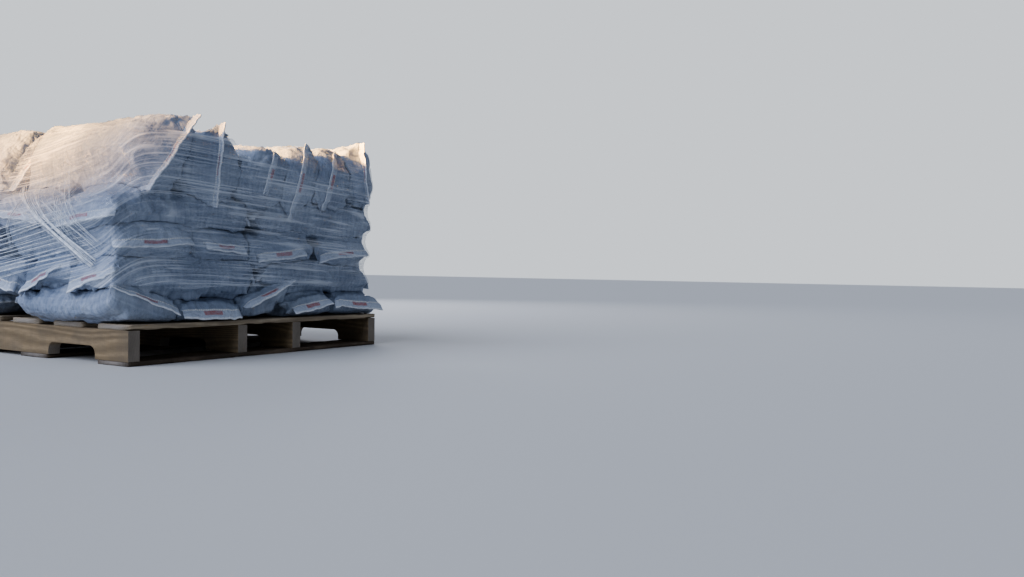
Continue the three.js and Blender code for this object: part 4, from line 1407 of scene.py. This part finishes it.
outline, film_walk, side_ends = around_rectangle(FILM_AROUND, film_half)
film_angles = np.arctan2(outline[:, 1], outline[:, 0])
levels = np.linspace(film_low[2], film_high[2], FILM_LEVELS)
radius = np.array([belt_radius(skin_points[np.abs(skin_points[:, 2] - z) < FILM_WINDOW], film_angles)
                   for z in levels])
for _ in range(2):
    radius = np.maximum(radius, soften_rows(radius, BRIDGE_PASSES))
radius = soften_rows(radius, 2) + FILM_CLEARANCE
print("belt radius from", round(radius.min(), 3), "to", round(radius.max(), 3), "m")


def touched_tops(points):
    """For each column, the highest point of the load within TOUCH of the belt, spread to the columns
    beside it and joined up where the belt touches nothing."""
    turned = np.unwrap(film_angles)
    angle = (np.arctan2(points[:, 1], points[:, 0]) - turned[0]) % (2 * math.pi) + turned[0]
    column = np.clip(np.searchsorted(turned, angle), 0, FILM_AROUND - 1)
    row = np.clip(((points[:, 2] - levels[0]) / (levels[1] - levels[0])).astype(int), 0, FILM_LEVELS - 1)
    near = radius[row, column] - np.hypot(points[:, 0], points[:, 1]) < TOUCH
    tops = np.full(FILM_AROUND, levels[0])
    np.maximum.at(tops, column[near], points[near, 2])
    tops = np.max([np.roll(tops, step) for step in range(-5, 6)], 0)
    found = tops > levels[-1] - 0.15
    tops = np.interp(film_walk, film_walk[found], tops[found], period=side_ends[-1])
    return np.mean([np.roll(tops, step) for step in range(-8, 9)], 0)


film_tops = np.minimum(touched_tops(skin_points) - EDGE_BELOW_TOP, levels[-1])
print("film's top edge from", round(film_tops.min(), 3), "to", round(film_tops.max(), 3), "m")

# %% [markdown]
# ## Filled out under the wrap
#
# The wrap squeezes the load, and the loose filling flows to wherever there is room under it, so the
# sacks' ends swell into the hollows between the layers. This could be one more simulation. A formula
# does it too: every point of the load moves outwards by an amount that depends only on how far under
# the belt it lies. Points that touch the belt stay, points in a hollow move most, and because the move
# is one smooth stretch of all space, it can't push a sack through its neighbour.

# %% Fill the hollows under the belt
FLOW, FLOW_DEPTH, FLOW_REACH = 0.055, 0.055, 0.22
FLOW_FADE_LOW, FLOW_FADE_HIGH, FLOW_FADE_MIDDLE = 0.04, 0.05, 0.1


def belt_beside(points):
    """The belt's radius at the angle and height of each point, between its four nearest values."""
    turned = np.unwrap(film_angles)
    angle = (np.arctan2(points[..., 1], points[..., 0]) - turned[0]) % (2 * math.pi) + turned[0]
    column = np.interp(angle, np.append(turned, turned[0] + 2 * math.pi), np.arange(FILM_AROUND + 1.0))
    row = np.clip((points[..., 2] - levels[0]) / (levels[1] - levels[0]), 0, FILM_LEVELS - 1.001)
    left, low = np.minimum(column.astype(int), FILM_AROUND - 1), row.astype(int)
    right, across, up = (left + 1) % FILM_AROUND, column - left, row - low
    below = radius[low, left] * (1 - across) + radius[low, right] * across
    above = radius[low + 1, left] * (1 - across) + radius[low + 1, right] * across
    return below * (1 - up) + above * up


def filled_out(points):
    """Moves points outwards by FLOW (1 - exp(-(d / FLOW_DEPTH)^2)) exp(-d / FLOW_REACH), where d is how
    far under the belt they lie. It fades out below and above the wrap and at the load's middle."""
    off_axis = np.hypot(points[..., 0], points[..., 1])
    under = np.clip(belt_beside(points) - off_axis, 0, None)
    move = FLOW * (1 - np.exp(-(under / FLOW_DEPTH) ** 2)) * np.exp(-under / FLOW_REACH)
    move = move * np.clip((points[..., 2] - levels[0]) / FLOW_FADE_LOW, 0, 1)
    move = move * np.clip((levels[-1] - points[..., 2]) / FLOW_FADE_HIGH, 0, 1)
    move = move * np.clip(off_axis / FLOW_FADE_MIDDLE, 0, 1)
    outward = points[..., :2] / np.maximum(off_axis, 1e-9)[..., None]
    return np.concatenate([points[..., :2] + outward * move[..., None], points[..., 2:]], -1), move.max()


for sack in sacks:
    sack["world"], sack["flow"] = filled_out(sack["world"])
print("sacks swell under the wrap by at most", round(max(s["flow"] for s in sacks) * 1000, 1), "mm")

# %% [markdown]
# ## The sacks
#
# Each grid becomes a closed piece: the tube, and at both ends the two sides of the hem joined point
# to point. It stands for its CAD solid and rides on the same body. The finish needs to know where on
# the cloth a point lies. An unwrap would have to guess that, but the grid knows it: rows count along
# the sack and columns round it, so both become coordinates in metres.


def cloth_uv(sack):
    """Cloth coordinates in metres for every corner of every face. U counts from the nearer hem, and is
    negative on the far half. V counts from the middle of a side, and has 1 added on the lower side."""
    around = sack["skin"].shape[1]
    u = np.where(sack["along"] < sack["whole"] / 2, sack["along"], sack["along"] - sack["whole"])
    columns = np.arange(around + 1)
    width = sack["flat_width"]
    v = np.where(columns <= around // 2, columns, columns - around // 2) / (around // 2) * width - width / 2
    upper = np.arange(around) < around // 2
    start_v = np.where(upper, v[:-1], np.where(columns[:-1] == around // 2, -width / 2, v[:-1]) + 1)
    start_v[around // 2] = 1 - width / 2
    end_v = start_v + width / (around // 2)
    same_half = np.sign(u[:-1] + 1e-9) == np.sign(u[1:] + 1e-9)
    next_u = np.where(same_half, u[1:], u[:-1] + (u[1] - u[0]))
    left, right = np.broadcast_arrays(u[:-1, None], start_v[None])
    far_u, far_v = np.broadcast_arrays(next_u[:, None], end_v[None])
    corners = np.stack([np.stack([left, right], -1), np.stack([left, far_v], -1),
                        np.stack([far_u, far_v], -1), np.stack([far_u, right], -1)], -2)
    return corners.reshape(-1, 2)


def sack_piece(sack):
    """One closed sack with its cloth coordinates."""
    rows, around = sack["skin"].shape[:2]
    quads, points = sewn_ends(rows, around)
    uv = np.concatenate([cloth_uv(sack), np.zeros((quads.size + points.size, 2))])
    faces = [np.concatenate([tube_quads(rows, around), quads]), points]
    piece = add_piece(sack["name"] + "_cloth", sack["world"].reshape(-1, 3), faces, woven, uv)
    piece.data.flip_normals()  # the rings turn from +Y to -Z here, the other way from tube_quads
    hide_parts(sack["name"])
    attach(piece, "root")


for sack in sacks:
    sack_piece(sack)
print("sack triangles:", sum(2 * s["skin"].shape[0] * s["skin"].shape[1] for s in sacks))

# %% [markdown]
# ## Wrinkles in the wrap
#
# Pulled film wrinkles into long fine ridges along the pull. They climb a little along the -X side,
# steeply round the corner where the film was drawn up from the lower layers, and come back down over
# the rest of the turn, as a spiral does. The larger ridges are relief in the mesh. Their height is
# also kept as an attribute, because film that is bunched is milkier than film that is flat.

# %% Film surface
RIDGE_WIDTHS = (0.012, 0.020, 0.036)
RIDGE_LENGTH_PARTS = (24, 15, 10)
RIDGE_HEIGHTS = (0.0005, 0.0009, 0.0014)
CLIMBS = ((0.10, 0.16, 0.0), (0.13, 0.55, -0.30))
EDGE_RISE, EDGE_RISE_WIDTH = 0.05, 0.32
EDGE_WAVES, LOWER_EDGE_WAVES = 26, 34
TOP_TUCK, TUCK_FROM = 0.010, 0.95


def spiral_lift(walk, corner, whole):
    """How far a wrinkle has climbed: S curves, each of a rise, a length and a place counted from the
    corner, paid back evenly over the whole turn."""
    climb = sum(rise / (1 + np.exp(-(walk - corner - place) / length * 4)) for rise, length, place in CLIMBS)
    return climb - sum(rise for rise, _, _ in CLIMBS) * walk / whole


perimeter = side_ends[-1]
lift = spiral_lift(film_walk, side_ends[1], perimeter)
along_film = film_walk / perimeter
from_middle = np.minimum(film_walk, perimeter - film_walk)
lower_edge = levels[0] + EDGE_RISE * np.exp(-(from_middle / EDGE_RISE_WIDTH) ** 2)
nowhere = np.zeros(FILM_AROUND)
wave_above = lattice_noise(nowhere, along_film * EDGE_WAVES, 71, EDGE_WAVES) * EDGE_WAVE
wave_below = lattice_noise(nowhere + 1, along_film * LOWER_EDGE_WAVES, 72, LOWER_EDGE_WAVES) * EDGE_WAVE
share_up = np.linspace(0, 1, FILM_LEVELS)[:, None]
film_z = (lower_edge + wave_below) * (1 - share_up) + (film_tops + wave_above) * share_up
thread = film_z - lift
film_ridge = np.zeros(film_z.shape)
for layer, (width, parts, tall) in enumerate(zip(RIDGE_WIDTHS, RIDGE_LENGTH_PARTS, RIDGE_HEIGHTS)):
    round_it = np.broadcast_to(along_film * parts, thread.shape)
    folds = lattice_noise(thread / width, round_it, 80 + layer, parts)
    film_ridge = film_ridge + tall * np.clip(1 - 2.6 * np.abs(folds), 0, 1) ** 1.5
z_rows = (film_z - levels[0]) / (levels[-1] - levels[0]) * (FILM_LEVELS - 1)
row_low = np.clip(np.floor(z_rows).astype(int), 0, FILM_LEVELS - 2)
row_share = np.clip(z_rows - row_low, 0, 1)
columns = np.broadcast_to(np.arange(FILM_AROUND), film_z.shape)
film_radius = radius[row_low, columns] * (1 - row_share) + radius[row_low + 1, columns] * row_share
tuck = TOP_TUCK * np.clip((share_up - TUCK_FROM) / (1 - TUCK_FROM), 0, 1) ** 2
film_radius = film_radius + film_ridge - tuck
film_points = np.stack([film_radius * np.cos(film_angles), film_radius * np.sin(film_angles), film_z], -1)
print("film grid", film_points.shape[:2])

# %% [markdown]
# ## Film finish
#
# The film is polyethylene, IOR 1.5, smooth and clear: flat film hardly shows, while each wrinkle
# scatters enough light to look like a pale thread. A noise that is stretched a hundredfold along the
# pull gives such threads: where its value is high the film is bunched and its alpha rises. Beside the
# corner, where the film was drawn up, a second set of threads crosses the first. Between the threads
# the alpha is low and a little patchy.

# %% Film material
THREAD_LAYERS = (
    # threads per metre along and across the pull, their turn in degrees, values where a thread begins
    # and is full, strength, and the attribute that says where
    (1.5, 330.0, 0, 0.42, 0.60, 0.55, None),
    (2.2, 230.0, 0, 0.50, 0.66, 0.80, None),
    (3.2, 130.0, 0, 0.54, 0.68, 0.85, None),
    (1.2, 44.0, 0, 0.61, 0.70, 0.5, None),
    (3.0, 130.0, 38, 0.53, 0.66, 0.8, "crossed"),
    (3.0, 130.0, -52, 0.55, 0.68, 0.7, "crossed"),
)
# how far alpha rises where the film is seen edge on: partly denser film, partly a painted reflection
EDGE_MILK_AND_REFLECTION = 0.6
FILM_TONES = ("#7688a6", "#e9f0fa")


def threads(tree, cloth, number, along, across, turn, begins, full, strength, where):
    """One layer of threads: smoothed steps of a noise on film coordinates turned and stretched."""
    turned = mapping(tree, cloth, Rotation=(0, 0, math.radians(turn)))
    stretched = mapping(tree, turned, Scale=(along, across, 1.0), Location=(7.3 * number, 3.1 * number, 0.0))
    noise = noise_at(tree, stretched, 1.0, 0.6)
    line = mapped(tree, noise, begins, full, end=strength, interpolation_type="SMOOTHSTEP")
    if where:
        share = add_node(tree, "ShaderNodeAttribute", attribute_name=where).outputs["Fac"]
        line = maths(tree, "MULTIPLY", line, share)
    return line


def stretch_film(name, clear, milky):
    """Clear stretch film. Alpha runs from `clear` on flat film to `milky` on wrinkles, and rises where
    the film is seen edge on: partly because more film lies along the view there, partly as a painted
    reflection."""
    material, tree, shader = new_material(name)
    cloth = add_node(tree, "ShaderNodeUVMap", uv_map="cloth").outputs[0]
    veil = noise_at(tree, mapping(tree, cloth, Scale=(3.0, 14.0, 1.0)), 1.0, 3.0)
    patch = mapped(tree, veil, 0.36, 0.62, start=0.35)
    lines = [threads(tree, cloth, number, *layer) for number, layer in enumerate(THREAD_LAYERS)]
    total = lines[0]
    for line in lines[1:]:
        total = maths(tree, "MAXIMUM", total, line)
    bunched = add_node(tree, "ShaderNodeAttribute", attribute_name="bunched").outputs["Fac"]
    total = maths(tree, "MAXIMUM", maths(tree, "MULTIPLY", total, patch), bunched)
    both = maths(tree, "MAXIMUM", total, maths(tree, "MULTIPLY", patch, 0.05))
    facing = add_node(tree, "ShaderNodeLayerWeight", {"Blend": 0.25}).outputs["Facing"]
    alpha = mapped(tree, both, 0.0, 1.0, clear, milky)
    # in part a painted reflection: the pale film grows more opaque where it is seen edge on
    alpha = maths(tree, "MAXIMUM", alpha, maths(tree, "MULTIPLY", facing, EDGE_MILK_AND_REFLECTION))
    tree.links.new(alpha, shader.inputs["Alpha"])
    colour = ramp(tree, both, [(0.05, FILM_TONES[0]), (0.6, FILM_TONES[1])])
    tree.links.new(colour, shader.inputs["Base Color"])
    tree.links.new(bumped(tree, total, 0.7, 0.0012), shader.inputs["Normal"])
    shader.inputs["Roughness"].default_value = 0.14
    shader.inputs["IOR"].default_value = 1.5
    return material


film_clear = stretch_film("stretch_film", clear=0.03, milky=0.58)
print("film material:", film_clear.name, "with", len(THREAD_LAYERS), "layers of threads")

# %% [markdown]
# ## The wrap
#
# The film is one open sheet: a grid of rows up the load and columns round it, closed on itself but
# not at the top and the bottom. Its coordinates count metres, round the load and square to the pull,
# so the threads of the finish follow the wrinkles. Two numbers are kept for each point. The first,
# `bunched`, is high on ridges and at the rolled upper edge. The second, `crossed`, says where the
# film was drawn up.

# %% Make the wrap
CROSSED_MIDDLE, CROSSED_HALF = (-0.30, 0.47), (0.28, 0.10)
ROLLED_FROM, ROLLED_SHARE = 0.97, 0.25


def film_piece():
    """The belt as one open sheet with film coordinates in metres and the attributes `bunched` and
    `crossed`. Laid flat it is as long as its girth at half its height."""
    faces = tube_quads(FILM_LEVELS, FILM_AROUND)
    walk = np.concatenate([film_walk, [perimeter]])
    thread_closed = np.concatenate([thread, thread[:, :1]], 1)
    thread_closed[:, -1] = film_z[:, 0] - spiral_lift(np.array([perimeter]), side_ends[1], perimeter)
    here = np.stack([np.broadcast_to(walk[:-1], thread.shape), thread_closed[:, :-1]], -1)
    beside = np.stack([np.broadcast_to(walk[1:], thread.shape), thread_closed[:, 1:]], -1)
    corners = np.stack([here[:-1], beside[:-1], beside[1:], here[1:]], 2)
    uv = corners.reshape(-1, 2)
    piece = add_piece("stretch_wrap_film", film_points.reshape(-1, 3), [faces], film_clear, uv)
    rolled_edge = ROLLED_SHARE * np.clip((share_up - ROLLED_FROM) / (1 - ROLLED_FROM), 0, 1)
    bunched = np.clip(film_ridge / sum(RIDGE_HEIGHTS) + rolled_edge, 0, 1)
    on_side = np.clip((film_points[..., 0] + 0.80 * film_half[0]) / (-0.12 * film_half[0]), 0, 1)
    crossed = on_side * np.exp(-((film_points[..., 1] - CROSSED_MIDDLE[0]) / CROSSED_HALF[0]) ** 2
                               - ((film_points[..., 2] - CROSSED_MIDDLE[1]) / CROSSED_HALF[1]) ** 2)
    for title, values in (("bunched", bunched ** 1.5), ("crossed", np.clip(1.4 * crossed, 0, 1))):
        attribute = piece.data.attributes.new(title, "FLOAT", "POINT")
        attribute.data.foreach_set("value", values.astype(np.float32).ravel())
    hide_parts("stretch_wrap")
    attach(piece, "root")
    return piece


film = film_piece()
print("film triangles:", 2 * len(film.data.polygons))

# %% [markdown]
# ## Drawn strands
#
# Where the film was pulled hard across the side it gathered into ropes and straight threads that
# hang clear of the sacks between the places that hold them. Each is a bundle of thin tubes that lie
# together in the middle and fan out at both ends. A tube is a ring of points carried along a line.

# %% Strands of film on the -X side
STRAND_STEPS, STRAND_SIDES = 36, 6
STRAND_SUNK, STRAND_TAPER = 0.6, 0.35
BUNDLES = [
    # start and end as (y, z) on the side, threads, radius, and how far they spread at the start, in
    # the middle and at the end
    ((-0.110, 0.520), (-0.530, 0.282), 5, 0.0019, 0.018, 0.004, 0.010),
    ((-0.215, 0.487), (-0.532, 0.292), 4, 0.0015, 0.020, 0.006, 0.012),
    ((-0.175, 0.500), (-0.500, 0.290), 6, 0.0008, 0.060, 0.030, 0.020),
    ((-0.280, 0.525), (-0.545, 0.330), 8, 0.0007, 0.120, 0.060, 0.030),
    ((-0.360, 0.500), (-0.440, 0.340), 5, 0.0007, 0.070, 0.040, 0.020),
    ((-0.180, 0.480), (-0.110, 0.330), 3, 0.0009, 0.020, 0.008, 0.012),
]
DRAWN_LINES = 11
DRAWN_FROM, DRAWN_TO = np.array([0.150, 0.345]), np.array([-0.395, 0.440])
DRAWN_STEP_FROM, DRAWN_STEP_TO = np.array([0.010, -0.0155]), np.array([-0.012, -0.0125])
THIN_LINE, LEAST_LINE, MOST_LINE, LINE_STRAY = 0.0006, 0.0010, 0.0019, 0.005


def film_reach(y, z):
    """The film's lowest x near each (y, z) of the -X side, from the nearest of its points."""
    side_points = film_points[film_points[..., 0] < -film_half[0] * 0.85]
    away = (side_points[:, 1] - y[:, None]) ** 2 + (side_points[:, 2] - z[:, None]) ** 2
    return side_points[np.argmin(away, 1), 0]


def taut(reach):
    """The lowest convex curve under a row of values: the smallest, at each place, of all the straight
    lines that join a value before it to one after it."""
    before, after, place = np.ogrid[:len(reach), :len(reach), :len(reach)]
    share = np.clip((place - before) / np.maximum(after - before, 1), 0, 1)
    line = reach[:, None, None] * (1 - share) + reach[None, :, None] * share
    return np.where((before <= place) & (place <= after), line, np.inf).min((0, 1))


def strand(start, end, offset_start, offset_middle, offset_end, radius, seed):
    """Rings of a thin tube on the -X side. Seen from the side its line runs from start to end, moved
    aside by offsets that a parabola joins. It is pulled taut over the film's outermost places."""
    t = np.linspace(0, 1, STRAND_STEPS)
    line = np.array(start) + (np.array(end) - start) * t[:, None]
    along = unit(np.array(end) - start)
    aside = np.array([-along[1], along[0]])
    bow = offset_start * (1 - t) * (1 - 2 * t) + 4 * offset_middle * t * (1 - t)
    bow = bow + offset_end * t * (2 * t - 1)
    line = line + aside * bow[:, None]
    x = taut(film_reach(line[:, 0], line[:, 1]))
    full = 1 - STRAND_TAPER
    taper = radius * (STRAND_TAPER + full * np.sin(math.pi * np.clip(t, 0.04, 0.96)) ** 0.5)
    taper = taper * (1 + 0.35 * lattice_noise(t * 14, t * 0, seed))
    angle = 2 * math.pi * np.arange(STRAND_SIDES) / STRAND_SIDES
    centre = np.stack([x - radius * STRAND_SUNK, line[:, 0], line[:, 1]], -1)
    out = np.array([1.0, 0, 0])
    side = np.array([0, aside[0], aside[1]])
    ring = out * np.cos(angle)[:, None] + side * np.sin(angle)[:, None]
    return (centre[:, None] + ring * taper[:, None, None]).reshape(-1, 3)


def strands_piece():
    """All strands in one mesh, each a closed tube."""
    tubes = []
    for number, (start, end, count, radius, *spread) in enumerate(BUNDLES):
        draw = np.random.default_rng(900 + number)
        for place in np.linspace(-0.5, 0.5, count):
            offsets = [width * (place + draw.uniform(-0.15, 0.15)) for width in spread]
            own_radius = radius * draw.uniform(0.6, 1.3)
            tubes.append(strand(start, end, *offsets, own_radius, int(draw.integers(1e6))))
    for number in range(DRAWN_LINES):
        draw = np.random.default_rng(950 + number)
        start, end = DRAWN_FROM + DRAWN_STEP_FROM * number, DRAWN_TO + DRAWN_STEP_TO * number
        for radius in (draw.uniform(LEAST_LINE, MOST_LINE), THIN_LINE):
            offsets = draw.uniform(-LINE_STRAY, LINE_STRAY, 3)
            tubes.append(strand(start, end, *offsets, radius, int(draw.integers(1e6))))
    count = STRAND_STEPS * STRAND_SIDES
    tube = tube_quads(STRAND_STEPS, STRAND_SIDES)
    first, last = np.arange(STRAND_SIDES), count - STRAND_SIDES + np.arange(STRAND_SIDES)
    ends = np.concatenate([fan(first, count, True), fan(last, count + 1, False)])
    points = [np.concatenate([t, [t[:STRAND_SIDES].mean(0)], [t[-STRAND_SIDES:].mean(0)]]) for t in tubes]
    start = np.arange(len(tubes))[:, None, None] * (count + 2)
    faces = [(tube + start).reshape(-1, 4), (ends + start).reshape(-1, 3)]
    uv_quads = np.tile([[0, 0], [0, 0.004], [0.01, 0.004], [0.01, 0]], (len(faces[0]), 1))
    uv = np.concatenate([uv_quads, np.zeros((faces[1].size, 2))])
    piece = add_piece("stretch_wrap_strands", np.concatenate(points), faces, film_strand, uv)
    piece.data.flip_normals()  # the rings turn from +Y to -Z here, the other way from tube_quads
    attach(piece, "root")
    return piece


film_strand, strand_tree, strand_shader = new_material("bunched_stretch_film")
strand_noise = noise_at(strand_tree, add_node(strand_tree, "ShaderNodeTexCoord").outputs["Object"], 60.0, 3.0)
strand_colour = ramp(strand_tree, strand_noise, [(0.35, "#c5cfdc"), (0.65, "#f5f8fc")])
strand_tree.links.new(strand_colour, strand_shader.inputs["Base Color"])
strand_shader.inputs["Roughness"].default_value = 0.25
strand_shader.inputs["Alpha"].default_value = 0.85
strands = strands_piece()
print("strand triangles:", 2 * len(strands.data.polygons))

# %% [markdown]
# ## Last checks
#
# A closed piece whose faces all point outwards encloses a positive volume, so one number for each
# piece gives away a mesh that is inside out. The open film encloses nothing and is left out. Then the
# litres that the sacks hold are printed.

# %% Volumes and size
def signed_volume(piece):
    """The volume that the faces enclose, in litres: less than nothing where they point inwards."""
    shell = bmesh.new()
    shell.from_mesh(piece.data)
    litres = shell.calc_volume(signed=True) * 1000
    shell.free()
    return litres


made = [p for p in bpy.data.objects if p.type == "MESH" and p.name not in nodes and p not in (floor, film)]
volumes = {p.name: signed_volume(p) for p in made}
sack_litres = sum(litres for name, litres in volumes.items() if name.startswith("sack"))
print("pieces with faces inwards:", [name for name, litres in volumes.items() if litres < 0])
print("the sacks hold", round(sack_litres), "litres")
